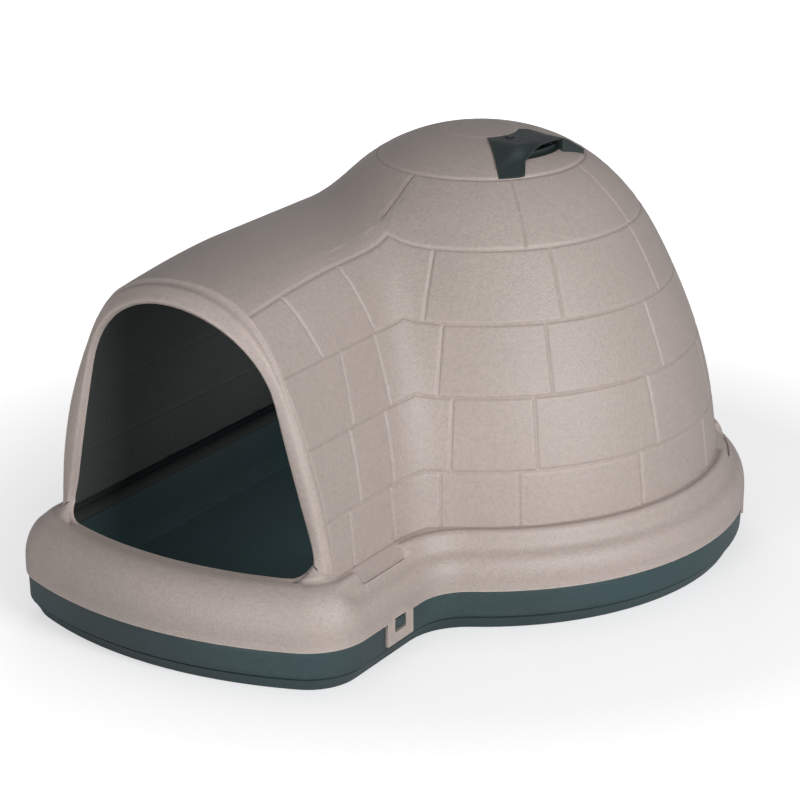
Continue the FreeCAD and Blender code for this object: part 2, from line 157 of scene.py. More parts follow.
soft_lamp("key_lamp", (3.9, -1.4, 1.6), (0, -0.15, 0.3), 1.5, 119.0)
soft_lamp("front_lamp", (0.1, -4.7, 0.85), (-0.1, -0.3, 0.3), 1.5, 64.0)
back = soft_lamp("back_lamp", (-2.8, 3.8, 1.1), (0, 0, 0.25), 2.2, 74.0)
inside_lamp = soft_lamp("inside_lamp", (-0.02, -0.06, 0.48), (-0.05, -0.2, 0.0), 0.16, 1.55)
back.visible_glossy = inside_lamp.visible_glossy = inside_lamp.visible_camera = False

# %% [markdown]
# ## Plastics
# Every piece is injection-moulded plastic. The shell's mould was etched, so its skin has a
# fine pebble grain with a soft sheen; the colour drifts a little and edges rub paler. Noise
# on Object coordinates gives all of that at a real size, so nothing needs unwrapping. The
# inner skin is the same plastic, but it gets a dark colour of its own as painted shade,
# because the inside reads as one dim, flat tone.

# %% Plastic material
def mix_colour(tree, place, share, first, second, blend="MIX"):
    return add_node(tree, "ShaderNodeMix", place, {0: share, 6: first, 7: second},
                    data_type="RGBA", blend_type=blend).outputs[2]


def plastic(name, colour, shade, grain_size, grain_depth, rough, rough_spread, rub):
    """Moulded plastic: drifting colour, pebble grain, uneven gloss and paler rubbed edges."""
    material = bpy.data.materials.new(name)
    material.use_nodes = True
    tree = material.node_tree
    spot = add_node(tree, "ShaderNodeTexCoord", (-1400, 0)).outputs["Object"]
    drift, fleck, grain = (
        add_node(tree, "ShaderNodeTexNoise", (-1100, y),
                 {"Vector": spot, "Scale": scale, "Detail": detail, "Roughness": roughness}
                 ).outputs["Fac"]
        for y, scale, detail, roughness in ((300, 3.2, 3.0, 0.5), (50, 170.0, 2.0, 0.5),
                                            (-250, grain_size, 2.5, 0.6)))
    base = mix_colour(tree, (-800, 300), spread(tree, (-950, 300), drift, (0.35, 0.65)),
                      (*shade, 1), (*colour, 1))
    tone = spread(tree, (-800, 50), fleck, (0.3, 0.7), (0.93, 1.05))
    flecked = mix_colour(tree, (-600, 250), 1.0, base, tone, "MULTIPLY")
    wear = add_node(tree, "ShaderNodeNewGeometry", (-1100, 550)).outputs["Pointiness"]
    edge = spread(tree, (-800, 550), wear, (0.505, 0.56), (0.0, rub))
    pale = (*[min(1.0, c * 1.55 + 0.02) for c in colour], 1)
    gloss = spread(tree, (-600, -50), fleck, (0.3, 0.7),
                   (rough - rough_spread, rough + rough_spread))
    bump = add_node(tree, "ShaderNodeBump", (-400, -250),
                    {"Strength": 1.0, "Distance": grain_depth, "Height": grain})
    shader = tree.nodes["Principled BSDF"]
    for label, source in (("Base Color", mix_colour(tree, (-400, 300), edge, flecked, pale)),
                          ("Roughness", gloss), ("Normal", bump.outputs["Normal"])):
        tree.links.new(source, shader.inputs[label])
    shader.inputs["Specular IOR Level"].default_value = 0.5
    return material


# Colour, its darker shade, grain size, grain depth in metres, roughness and its spread, rub.
taupe = ((0.432, 0.362, 0.330), (0.398, 0.336, 0.304), 360.0, 0.0011, 0.40, 0.08, 0.30)
finish = {name: plastic(name, *look) for name, look in {
    "shell_plastic": taupe,
    "cap_plastic": taupe,
    # The inner skin's dark colour is painted shade, for the dim light inside the shell.
    "inner_skin": ((0.068, 0.074, 0.072), (0.058, 0.063, 0.061), 360.0, 0.0008, 0.55, 0.05, 0.10),
    "pan_plastic": ((0.040, 0.072, 0.076), (0.040, 0.058, 0.062), 500.0, 0.0003, 0.36, 0.05, 0.06),
    # The vent's own dark green, also used as painted shade on the shell under the vent's scoop.
    "vent_plastic": ((0.022, 0.034, 0.032), (0.016, 0.026, 0.025), 500.0, 0.0003, 0.40, 0.05, 0.3),
    "pin_plastic": ((0.020, 0.028, 0.028), (0.014, 0.022, 0.022), 500.0, 0.0002, 0.35, 0.04, 0.3),
}.items()}
slot_of = {"base_pan": "pan_plastic", "upper_shell": "shell_plastic", "apex_cap": "cap_plastic",
           "vent_hood": "vent_plastic", "vent_shutter": "vent_plastic",
           "vent_pin": "pin_plastic", "pivot_clip": "pin_plastic"}
print("finishes", sorted(finish))

# %% [markdown]
# ## The shell's outline, in millimetres
# The shell follows a few simple lines: the dome's side view, the arch of the tunnel, and the
# bowed front. They repeat the CAD's own numbers. A smooth curve through a few measured
# points keeps the dome free of flats, which a chain of straight pieces would show.

# %% Smooth line through points
def smooth_line(points, start=None, end=None, count=2400):
    """Dense points of the smooth curve through a few, with given or free end directions."""
    knots = np.array(points, float)
    chord = np.diff(knots, axis=0)
    gap = np.linalg.norm(chord, axis=1)
    last = len(knots) - 1
    left, right = np.zeros((last + 1, last + 1)), np.zeros((last + 1, knots.shape[1]))
    for i in range(1, last):
        a, b = gap[i - 1], gap[i]
        left[i, i - 1:i + 2] = b, 2 * (a + b), a
        right[i] = 3 * (b * chord[i - 1] / a + a * chord[i] / b)
    for row, inner, way, side in ((0, 1, start, 0), (last, last - 1, end, last - 1)):
        if way is None:
            left[row, row], left[row, inner] = 2, 1
            right[row] = 3 * chord[side] / gap[side]
        else:
            left[row, row] = 1
            right[row] = np.array(way, float) / np.linalg.norm(way)
    slope = np.linalg.solve(left, right)
    at = np.concatenate([[0], np.cumsum(gap)])
    t = np.linspace(0, at[-1], count)
    i = np.clip(np.searchsorted(at, t, side="right") - 1, 0, last - 1)
    g = gap[i][:, None]
    w = (t - at[i])[:, None] / g
    return ((2 * w**3 - 3 * w**2 + 1) * knots[i] + (w**3 - 2 * w**2 + w) * g * slope[i]
            + (3 * w**2 - 2 * w**3) * knots[i + 1] + (w**3 - w**2) * g * slope[i + 1])


def run_along(line):
    """Length along a line at each of its points."""
    return np.concatenate([[0], np.cumsum(np.linalg.norm(np.diff(line, axis=0), axis=1))])


# %% Dome
rings = [(54.6, 645.5), (158.0, 608.0), (244.0, 526.0), (297.0, 430.0), (336.0, 332.0),
         (361.5, 228.0), (371.8, 148.0)]
dome_line = smooth_line([(0.0, 649.0)] + rings, (1, 0), (0.12, -1))
dome_run = run_along(dome_line)
ring_height = [z for r, z in rings]


def by_height(line, z, values):
    """Values kept along a falling line, read at a height."""
    return np.interp(-np.asarray(z, float), -line[:, 1], values)


def dome_radius(z):
    return by_height(dome_line, z, dome_line[:, 0])


def dome_run_at(z):
    return by_height(dome_line, z, dome_run)


def dome_at(run):
    """Reach and height at a length along the dome's side view, from its top."""
    return np.interp(run, dome_run, dome_line[:, 0]), np.interp(run, dome_run, dome_line[:, 1])


def dome_height(reach):
    return np.interp(reach, dome_line[:, 0], dome_line[:, 1])


def polar(reach, angle, height):
    """Points from their distance to the dome's axis, their angle round it and their height."""
    parts = reach * np.cos(angle), reach * np.sin(angle), height
    return np.stack(np.broadcast_arrays(*parts), -1)


print("dome radius half way up", dome_radius(324.5).round(1), "mm")

# %% Tunnel
tunnel_middle = -127.0
shoulder, ridge, shoulder_half = 526.0, 556.0, 114.0
shoulder_drop, ridge_drop = 32.0, 26.0
wall_inset = 129.0
level_to, taper = 400.0, 300.0
half_count = 2400


def arch_line(drop):
    """Half arch from the ridge to the foot, lowered towards the door by a share from 0 to 1."""
    half = [(shoulder_half, shoulder - drop * shoulder_drop)]
    half += [(r - wall_inset, z) for r, z in rings[3:]]
    whole = [(-u, z) for u, z in reversed(half)] + [(0.0, ridge - drop * ridge_drop)] + half
    return smooth_line(whole, count=2 * half_count + 1)[half_count:]


arch_level, arch_door = arch_line(0.0), arch_line(1.0)


def wall_half(z):
    return by_height(arch_level, z, arch_level[:, 0])


def arch_piece(line, top, q):
    """Point a share q of the way up the roof, from the shoulder to the ridge."""
    roof = line[line[:, 1] >= top - 1e-6]
    run = run_along(roof)
    at = (1.0 - np.asarray(q, float)) * run[-1]
    return np.stack([np.interp(at, run, roof[:, 0]), np.interp(at, run, roof[:, 1])], -1)


def roof_share(y):
    """How far the roof has come down at y, as a share; a smooth fall fitted to the picture."""
    t = np.clip((-np.asarray(y, float) - level_to) / taper, 0, None)
    return t * (0.37 + t * (0.95 - 0.32 * t))


def roof_point(q, y, side):
    """Point on the tunnel roof; q runs from the shoulder, 0, to the ridge, 1."""
    low = arch_piece(arch_level, shoulder, q)
    high = arch_piece(arch_door, shoulder - shoulder_drop, q)
    section = low + roof_share(y)[..., None] * (high - low)
    return np.stack([tunnel_middle + side * section[..., 0], y, section[..., 1]], -1)


def wall_point(z, y, side):
    """Point on a tunnel wall, named by its height on the level part of the tunnel."""
    z, y = np.broadcast_arrays(np.asarray(z, float), np.asarray(y, float))
    top, low = shoulder, ring_height[3]
    at = low + np.clip(z - low, 0, None) * (top - shoulder_drop - low) / (top - low)
    at = np.where(z > low, at, z)
    share = roof_share(y)
    half = wall_half(z) + share * (by_height(arch_door, at, arch_door[:, 0]) - wall_half(z))
    return np.stack([tunnel_middle + side * half, y, z + share * (at - z)], -1)


print("tunnel half width at the foot", wall_half(148.0).round(1), "mm")

# %% [markdown]
# ## One smooth skin from dome and tunnel
# Where the tunnel meets the dome, the real moulding has a soft rounded valley. Each surface
# gets a distance, the two distances are blended, and points near the valley slide onto the
# blended skin. This keeps the rows of the mesh where the block joints need them.

# %% Blend dome and tunnel
blend_reach, arch_hub = 66.0, 300.0


def outward(line):
    """Unit outward way at each point of a line that runs from the top to the foot."""
    way = np.gradient(line, axis=0)
    out = np.stack([-way[:, 1], way[:, 0]], -1)
    return out / np.linalg.norm(out, axis=1)[:, None]


arch_angle = np.arctan2(arch_level[:, 1] - arch_hub, arch_level[:, 0])[::-1]
arch_reach = np.hypot(arch_level[:, 0], arch_level[:, 1] - arch_hub)[::-1]
arch_out = outward(arch_level)[::-1]
dome_out = outward(dome_line)


def skin_distance(points):
    """Distance outside the blended skin of the two."""
    x, y, z = points.T
    reach = np.hypot(x, y)
    out_r, out_z = (by_height(dome_line, z, dome_out[:, k]) for k in (0, 1))
    from_dome = (reach - dome_radius(z)) * out_r
    u = x - tunnel_middle
    half = np.abs(u)
    angle = np.arctan2(z - arch_hub, half)
    away = np.hypot(half, z - arch_hub)
    wall, wall_u, wall_z = (np.interp(angle, arch_angle, values)
                            for values in (arch_reach, arch_out[:, 0], arch_out[:, 1]))
    from_tunnel = (away - wall) * (wall_u * half + wall_z * (z - arch_hub)) / away
    facing = (x / reach * out_r * wall_u * np.sign(u)) + out_z * wall_z
    width = blend_reach * np.clip(2.2 * (1.0 - facing), 0.02, 1.0)
    mix = np.clip(width - np.abs(from_dome - from_tunnel), 0, None) / width
    return np.minimum(from_dome, from_tunnel) - mix * mix * width * 0.25


def settle(points, rounds=6, step=0.5):
    """Slide points onto the blended skin along its own slope."""
    moved = points.copy()
    for _ in range(rounds):
        here = skin_distance(moved)
        slope = np.stack([skin_distance(moved + step * axis) - here for axis in np.eye(3)], -1)
        slope /= step
        size = np.clip((slope**2).sum(-1), 0.2, None)
        moved -= (here / size)[:, None] * slope
    return moved


# %% [markdown]
# ## A mesh that grows by strips
# The shell is one skin with hundreds of moulded joints. Each course of blocks is its own
# grid, dense only beside its joints, and neighbouring courses are zipped together. Every
# point keeps its place on the smooth skin, how deep the joint is there and how thick the
# wall is, so the inner skin follows the outer one and the shell comes out closed.

# %% Skin builder
shell_wall = 5.0


def grid_cells(ids):
    """The four corners of each cell between neighbouring rows and columns."""
    for i in range(ids.shape[0] - 1):
        for j in range(ids.shape[1] - 1):
            yield i, j, (ids[i, j], ids[i + 1, j], ids[i + 1, j + 1], ids[i, j + 1])


def closed_ring(ids):
    """Repeat the first column after the last one."""
    return np.concatenate([ids, ids[:, :1]], 1)


class Skin:
    """Collects points and faces, with the joint's depth and the wall at each point."""

    def __init__(self):
        self.spots, self.dips, self.walls, self.faces = [], [], [], []

    def add(self, spots, dips=0.0, wall=shell_wall):
        """Store points and give back their numbers in the same arrangement."""
        spots = np.asarray(spots, float)
        shape = spots.shape[:-1]
        first = sum(len(s) for s in self.spots)
        self.spots.append(spots.reshape(-1, 3))
        self.dips.append(np.broadcast_to(dips, shape).reshape(-1).astype(float))
        self.walls.append(np.broadcast_to(wall, shape).reshape(-1).astype(float))
        return first + np.arange(int(np.prod(shape))).reshape(shape)

    def grid(self, ids, leave=None):
        """Faces between neighbours; leave marks cells that stay open."""
        self.faces += [cell for i, j, cell in grid_cells(ids) if leave is None or not leave[i, j]]

    def zip(self, upper, upper_at, lower, lower_at):
        """Triangles between two edges whose points don't match."""
        i = j = 0
        while i < len(upper) - 1 or j < len(lower) - 1:
            done = j == len(lower) - 1
            if done or (i < len(upper) - 1 and upper_at[i + 1] <= lower_at[j + 1]):
                self.faces.append((upper[i], lower[j], upper[i + 1]))
                i += 1
            else:
                self.faces.append((upper[i], lower[j], lower[j + 1]))
                j += 1


skin = Skin()

# %% Joint section
joint_depth = 2.2
joint_steps = (0.7, 1.6, 2.7, 4.0, 5.4, 8.0)
no_joint = 1e3  # how far off the nearest joint is, for a column that belongs to none


def groove(distance):
    """Depth of a moulded joint, from 0 to 1, by the distance from its middle."""
    return np.interp(np.abs(distance), (0.0, 0.9, 1.9, 3.0, 4.4, 6.0),
                     (1.0, 0.95, 0.6, 0.2, 0.04, 0.0))


def both_grooves(a, b):
    return joint_depth * (1.0 - (1.0 - groove(a)) * (1.0 - groove(b)))


def ease(t):
    """Soft step from 0 to 1."""
    t = np.clip(t, 0.0, 1.0)
    return t * t * (3.0 - 2.0 * t)


def fill_between(anchors, spacing):
    """Add evenly spaced columns wherever two neighbours stand too far apart."""
    anchors = sorted(anchors, key=lambda column: float(np.mean(column[0])))
    out = [anchors[0]]
    for column in anchors[1:]:
        before = out[-1][0]
        parts = math.ceil(float(np.mean(column[0] - before)) / spacing)
        out += [(before + (column[0] - before) * k / parts, no_joint) for k in range(1, parts)]
        out.append(column)
    return out


print("a joint is", joint_depth, "mm deep")

# %% [markdown]
# ## Courses of blocks
# Four courses run from the front of the tunnel's right wall, through the valley, round the
# back of the dome and along the left wall. The upright joints that show in the picture have
# their measured angles; the ones at the back carry on with the same uneven spacing.

# %% Joint places
wall_joints_right = {2: [(-515, -492), (-377, -359)], 3: [(-450, -477), (-364, -382)],
                     4: [(-488, -498), (-398, -413)], 5: [(-529, -532), (-424, -426)]}
dome_joints = {2: [-75, -35, 5, 45, 84, 124, 163], 3: [-69.5, -40.7, -5, 27, 62, 93, 128, 160],
               4: [-65.7, -45.6, -12.3, 20, 47, 79, 106, 137, 166],
               5: [-68, -50, -18.5, 10, 41, 66, 98, 125, 155]}
wall_joints_left = {2: [(-105, -95), (-240, -225), (-377, -359), (-515, -492)],
                    3: [(-120, -125), (-250, -240), (-364, -382), (-450, -477)],
                    4: [(-150, -160), (-280, -275), (-398, -413), (-488, -498)],
                    5: [(-75, -80), (-190, -185), (-310, -312), (-424, -426), (-529, -532)]}
column_gap, row_gap, valley_reach = 26.0, 24.0, 100.0
foot_course = 5
foot_steps = (34.0, 27.0, 20.0, 14.0, 8.0, 3.0, 0.0)
valley_marks = (-84, -66, -52, -40, -30, -21, -13, -6, 0, 6, 13, 21, 30, 40, 52, 66)
edge_marks = (0.0, 2.5, 6.0)


def bead_start(z):
    """Where the walls end and the door's bead begins."""
    return np.interp(z, (148, 236, 320, 526), (-579, -584, -588, -590))


def side_lines(z):
    """Radius, the two lines where the walls leave the dome, and their angles, at a height."""
    radius, half = dome_radius(z), wall_half(z)
    right, left = tunnel_middle + half, tunnel_middle - half
    valley_y = -np.sqrt(radius**2 - right**2)
    left_y = -np.sqrt(np.clip(radius**2 - left**2, 0, None))
    start = np.arctan2(valley_y, right)
    stop = 2 * np.pi + np.arctan2(left_y, left)
    return radius, valley_y, left_y, start, stop


print("blocks in a course", {n: len(a) for n, a in dome_joints.items()})

# %% One course
def course_columns(number, share, radius, valley_y, left_y, start, far_side, front):
    """Columns of a course, each a length along the outline and its distance from a joint."""
    joints = [y0 + (y1 - y0) * share - valley_y for y0, y1 in wall_joints_right[number]]
    joints += [(math.radians(a) - start) * radius for a in dome_joints[number]]
    joints += [far_side + left_y - (y0 + (y1 - y0) * share) for y0, y1 in wall_joints_left[number]]
    columns = [(j + sign * s, s) for j in joints for s in joint_steps for sign in (-1, 1)]
    columns += [(j, 0.0) for j in joints]
    first, last = front - valley_y, far_side + left_y - front
    guides = [first + s for s in edge_marks] + [last - s for s in reversed(edge_marks)]
    guides += [0.0 * radius + s for s in valley_marks]
    guides += [far_side + s for s in (-12.0, 0.0, 12.0)]
    for guide in guides:
        if min(float(np.abs(guide - c[0]).min()) for c in columns if c[1] < 100) > 3.0:
            columns.append((guide, no_joint))
    return fill_between(columns, column_gap), first, last


def course(number):
    """Grid of one course; a column is a length along the outline, measured from the valley."""
    top_z, low_z = ring_height[number], ring_height[number + 1]
    top, low = dome_run_at(top_z), dome_run_at(low_z)
    foot = number == foot_course
    runs = [top + s for s in joint_steps]
    ends = [low - s for s in (foot_steps if foot else reversed(joint_steps))]
    count = math.ceil((ends[0] - runs[-1]) / row_gap)
    runs += [runs[-1] + (ends[0] - runs[-1]) * k / count for k in range(1, count)] + ends
    runs = np.array(runs)
    z = dome_at(runs)[1]
    radius, valley_y, left_y, start, stop = side_lines(z)
    far_side = (stop - start) * radius
    share = (top_z - z) / (top_z - low_z)
    columns, first, last = course_columns(number, share, radius, valley_y, left_y, start,
                                          far_side, bead_start(z))
    at = np.stack([c[0] for c in columns], 1)
    away = np.array([c[1] for c in columns])
    assert (np.diff(at, axis=1) > 0.2).all(), (number, np.diff(at, axis=1).min())
    zz = np.broadcast_to(z[:, None], at.shape)
    on_right, on_left = at < 0, at > far_side[:, None]
    spots = polar(radius[:, None], start[:, None] + at / radius[:, None], zz)
    spots[on_right] = wall_point(zz, valley_y[:, None] + at, 1)[on_right]
    spots[on_left] = wall_point(zz, left_y[:, None] - (at - far_side[:, None]), -1)[on_left]
    near = np.abs(at) < valley_reach
    spots[near] = settle(spots[near])
    from_ring = runs - top if foot else np.minimum(runs - top, low - runs)
    edge = np.minimum(at - first[:, None], last[:, None] - at)
    dips = both_grooves(from_ring[:, None], away[None, :]) * ease(edge / 6.0)
    ids = skin.add(spots, dips)
    skin.grid(ids)
    return ids, at, z


courses = {number: course(number) for number in (2, 3, 4, 5)}
for number in (2, 3, 4):
    skin.zip(courses[number][0][-1], courses[number][1][-1],
             courses[number + 1][0][0], courses[number + 1][1][0])
print("courses", {n: c[0].shape for n, c in courses.items()})

# %% [markdown]
# ## Roof of the tunnel and the dome's top course
# The top course stands on the ring joint at the back, but over the tunnel it stands on the
# roof. So its columns end where the two surfaces meet, and the roof's columns start there.

# %% Where roof and dome meet
roof_line = arch_level[arch_level[:, 1] >= shoulder - 1e-6]
meet_u = np.concatenate([-roof_line[::-1, 0], roof_line[1:, 0]])
meet_z = np.concatenate([roof_line[::-1, 1], roof_line[1:, 1]])
meet_x = tunnel_middle + meet_u
meet_y = -np.sqrt(dome_radius(meet_z)**2 - meet_x**2)
meet_angle = np.unwrap(np.arctan2(meet_y, meet_x)) % (2 * np.pi)
roof_run = run_along(np.stack([meet_u, meet_z], 1))
roof_width = roof_run[-1]
radius_2, valley_2, left_2, start_2, stop_2 = side_lines(shoulder)

# %% Top course: columns
crown_joints = [-43.3, 6.0, 58.0, 110.0, 160.0, 210.0, 262.0]
over_roof = [*joint_steps, 14.0, 24.0]
over_roof = over_roof + [roof_width - s for s in reversed(over_roof)]
top_columns = []
for a in crown_joints:
    top_columns += [(math.radians(a), sign * s, s) for s in joint_steps for sign in (-1, 1)]
    top_columns.append((math.radians(a), 0.0, 0.0))
for s in over_roof:
    a = np.interp(s, roof_run, meet_angle)
    top_columns.append((a - 2 * np.pi if a > stop_2 + 4 else a, 0.0, no_joint))
mean_radius, top_gap = 200.0, 20.0
known = sorted((a + s / mean_radius, a, s, d) for a, s, d in top_columns)
filled = []
for here, after in zip(known, known[1:] + [(known[0][0] + 2 * np.pi,) + known[0][1:]]):
    filled.append(here[1:])
    parts = math.ceil((after[0] - here[0]) * mean_radius / top_gap)
    filled += [(here[0] + (after[0] - here[0]) * k / parts, 0.0, no_joint)
               for k in range(1, parts)]
past = meet_angle[-1] + 1e-6
filled = [(a - 2 * np.pi if a + s / mean_radius > past else a, s, d) for a, s, d in filled]
filled.sort(key=lambda column: column[0] + column[1] / mean_radius)
base_angle, off, away = (np.array([f[k] for f in filled]) for k in range(3))
print("top course has", len(filled), "columns")

# %% Top course: grid
run_1, run_2 = dome_run_at(ring_height[1]), dome_run_at(shoulder)


def bottom_height(angle):
    """Height of the course's lower edge: the ring, or the roof where that stands higher."""
    angle = angle % (2 * np.pi)
    z = np.interp(angle, meet_angle, meet_z)
    return np.where((angle > meet_angle[0]) & (angle < meet_angle[-1]), z, shoulder)


z_low = bottom_height(base_angle)
for _ in range(4):
    z_low = bottom_height(base_angle + off / dome_radius(z_low))
inside = z_low > shoulder + 1e-6
run_low = dome_run_at(z_low)
open_steps = np.array((*joint_steps, 14.0))
roof_steps = np.array((0.0, 3.0, 7.0, 12.0, 18.0, 25.0, 34.0))
share = np.where(inside, ease((z_low - shoulder) / 10.0), 0.0)[None, :]
low_steps = open_steps[:, None] * (1 - share) + roof_steps[:, None] * share
low_steps[0] = np.where(inside, 0.0, joint_steps[0])
low_steps = np.maximum.accumulate(low_steps + 1e-3 * np.arange(7)[:, None], axis=0)
low_runs = (run_low[None, :] - low_steps)[::-1]
high_runs = np.repeat((run_1 + np.array(joint_steps))[:, None], len(filled), 1)
mid = [high_runs[-1] + (low_runs[0] - high_runs[-1]) * k / 4 for k in range(1, 4)]
runs = np.concatenate([high_runs, np.array(mid), low_runs])
reach, height = dome_at(runs)
spots = polar(reach, base_angle[None, :] + off[None, :] / reach, height)
climb = run_low[None, :] - runs
by_valley = [np.abs((base_angle - start_2 - lap) * radius_2) < 70 for lap in (0, 2 * np.pi)]
near = (inside | by_valley[0] | by_valley[1])[None, :] & (climb < 80) & (spots[..., 1] < -8)
spots[near] = settle(spots[near])
from_joint = away[None, :] + np.where(inside[None, :], 8.0 * (1 - ease(climb / 8.0)), 0.0)
top_ids = skin.add(spots, both_grooves(np.minimum(runs - run_1, run_2 - runs), from_joint))
skin.grid(closed_ring(top_ids))
print("top course", top_ids.shape, "of which over the roof", int(inside.sum()))

# %% Tunnel roof
over = np.nonzero(inside)[0]
roof_at = np.interp((base_angle[over] + off[over] / dome_radius(z_low[over])) % (2 * np.pi),
                    meet_angle, roof_run)
side = np.where(roof_at < 0.5 * roof_width, -1, 1)
q = np.minimum(roof_at, roof_width - roof_at) / (0.5 * roof_width)
y_meet = np.interp(roof_at, roof_run, meet_y)
front_y = -590.0
near_steps = np.array((3.0, 7.0, 12.0, 18.0, 26.0, 36.0, 48.0, 62.0, 80.0, 100.0))
rows_y = [y_meet - s for s in near_steps]
rows_y += [rows_y[-1] + (front_y + 6.0 - rows_y[-1]) * k / 15 for k in range(1, 15)]
rows_y += [np.full(len(over), front_y + s) for s in (6.0, 2.5, 0.0)]
rows_y = np.array(rows_y)
spots = roof_point(np.broadcast_to(q, rows_y.shape), rows_y, np.broadcast_to(side, rows_y.shape))
near = (y_meet[None, :] - rows_y) < 105
spots[near] = settle(spots[near])
from_edge = np.minimum(roof_at, roof_width - roof_at)
dips = joint_depth * groove(from_edge)[None, :] * ease((rows_y - front_y) / 6.0)
roof_ids = skin.add(spots, dips)
roof_ids = np.concatenate([top_ids[-1:, over], roof_ids])
skin.grid(roof_ids)
print("roof", roof_ids.shape)

# %% Roof to the walls and the dome
around = [i for i in range(top_ids.shape[1]) if not inside[i]]
assert around == list(range(len(around))), "the columns over the roof come last"
dome_side = (stop_2 - start_2) * radius_2
upper = list(roof_ids[::-1, -1]) + list(top_ids[-1, around]) + list(roof_ids[:, 0])
right_run = list(rows_y[::-1, -1] - valley_2) + [0.0]
dome_along = list((base_angle[around] + off[around] / radius_2 - start_2) * radius_2)
left_run = [dome_side] + list(dome_side + left_2 - rows_y[:, 0])
skin.zip(upper, right_run + dome_along + left_run, courses[2][0][0], courses[2][1][0])
print("roof and top course zipped to the second course at", len(upper), "points")

# %% [markdown]
# ## Crown, with the vent's throat and the seat of the cap
# Above the top ring the dome is plain. The vent's throat is a real hole through it, with a
# low dam at its outer edge that keeps rain out, and the cap sits in a shallow round seat.

# %% Crown: rows and columns
vent_turn_deg, throat_half_deg = -10.8, 18.5
throat_in, throat_out = 76.0, 116.0
cap_seat_radius, cap_seat_height, stem_hole, boss_radius, boss_low = 55.0, 642.5, 10.3, 22.5, 628.0
throat_from, throat_to = [math.radians(vent_turn_deg + s * throat_half_deg) for s in (-1, 1)]
crown_columns = [throat_from + (throat_to - throat_from) * k / 10 for k in range(11)]
crown_columns += list(np.linspace(throat_to, throat_from + 2 * np.pi, 72)[1:-1])
crown_columns = np.array(sorted(crown_columns))
crown_radii = [57.0, 63.0, throat_in, 84.0, 93.0, 102.0, 109.0, throat_out, 116.7, 118.6, 119.4,
               126.0, 134.0, 142.0]
crown_runs = np.interp(crown_radii, dome_line[:, 0], dome_run)
crown_runs = np.concatenate([crown_runs, [run_1 - s for s in reversed(joint_steps)]])
reach, height = dome_at(crown_runs)
seat_r = [stem_hole, boss_radius, boss_radius + 0.8, 40.0, cap_seat_radius, cap_seat_radius]
seat_edge = dome_at(np.interp(cap_seat_radius, dome_line[:, 0], dome_run))[1]
reach = np.concatenate([seat_r, reach])
height = np.concatenate([[cap_seat_height] * 5, [seat_edge], height])
print("crown", len(reach), "rows and", len(crown_columns), "columns")

# %% Crown: grid
spots = polar(reach[:, None], crown_columns[None, :], height[:, None])
from_ring = run_1 - np.concatenate([np.zeros(len(seat_r)), crown_runs])
dips = np.repeat(joint_depth * groove(from_ring)[:, None], len(crown_columns), 1)
in_throat = (crown_columns > throat_from - 1e-6) & (crown_columns < throat_to + 1e-6)
from_middle = np.degrees(crown_columns) - vent_turn_deg
dam_height = 6.0 * ease((from_middle + 16.0) / 9.0)
for row in np.nonzero((reach > throat_out + 0.5) & (reach < 119.0))[0]:
    dips[row, in_throat] = -dam_height[in_throat]
walls = np.full(spots.shape[:2], shell_wall)
walls[:2] = cap_seat_height - boss_low
crown_ids = skin.add(spots, dips, walls)
crown_ring = closed_ring(crown_ids)
leave = np.zeros((crown_ring.shape[0] - 1, crown_ring.shape[1] - 1), bool)
throat_rows = (reach[:-1] > throat_in - 0.1) & (reach[1:] < throat_out + 0.1)
leave[:, :-1] = throat_rows[:, None] & (in_throat[:-1] & in_throat[1:])[None, :]
skin.grid(crown_ring, leave)
crown_at = np.append(crown_columns, crown_columns[0] + 2 * np.pi)
ring_at = base_angle + off / rings[1][0]
shift = int(np.argmax(ring_at > crown_columns[0]))
turned = np.roll(np.arange(len(ring_at)), -shift)
turned_at = ring_at[turned] + np.where(ring_at[turned] < ring_at[shift] - 1e-9, 2 * np.pi, 0)
skin.zip(crown_ring[-1], crown_at, list(top_ids[0, turned]) + [top_ids[0, turned[0]]],
         list(turned_at) + [turned_at[0] + 2 * np.pi])
print("crown", crown_ids.shape, "throat cells", int(leave.sum()))

# %% [markdown]
# ## Flange
# The foot of the shell flares into a double roll: a small crest beside the wall, a hollow,
# and a broad shoulder that turns down into the skirt. Its outline is a chain of arcs, so a
# point and an outward direction on one line give all its parallels. Over each snap tab the
# crest is cut flat, with a narrow slot through it, and the tab hangs from the skirt.

# %% Outline of the foot
skirt_radius, corner_radius, bow_radius, valley_radius = 417.8, 93.4, 609.0, 80.0
front_reach, offset_2 = 711.7, 254.0


def outline_pieces():
    """Pieces of the skirt's outline: middle, radius, angles, or a straight line's two ends."""
    right = skirt_radius - offset_2
    side = skirt_radius + tunnel_middle
    bow_y = bow_radius - front_reach
    forward = math.sqrt((bow_radius - corner_radius)**2 - (side - corner_radius)**2)
    corner_y = bow_y - forward
    valley_y = -math.sqrt((skirt_radius + valley_radius)**2 - (right + valley_radius)**2)
    meet = math.atan2(valley_y, right + valley_radius)
    lean = math.atan2(forward, side - corner_radius)
    middle = tunnel_middle
    return [("line", (right, corner_y), (right, valley_y), (1, 0)),
            ("arc", (right + valley_radius, valley_y), valley_radius, math.pi, meet + math.pi, -1),
            ("arc", (0.0, 0.0), skirt_radius, meet, math.pi, 1),
            ("line", (-skirt_radius, 0.0), (-skirt_radius, corner_y), (-1, 0)),
            ("arc", (middle - side + corner_radius, corner_y), corner_radius, math.pi,
             2 * math.pi - lean - (math.pi - 2 * lean), 1),
            ("arc", (middle, bow_y), bow_radius, math.pi + lean, 2 * math.pi - lean, 1),
            ("arc", (middle + side - corner_radius, corner_y), corner_radius, -lean, 0.0, 1)]


pieces = outline_pieces()
print("outline pieces", [p[0] for p in pieces])

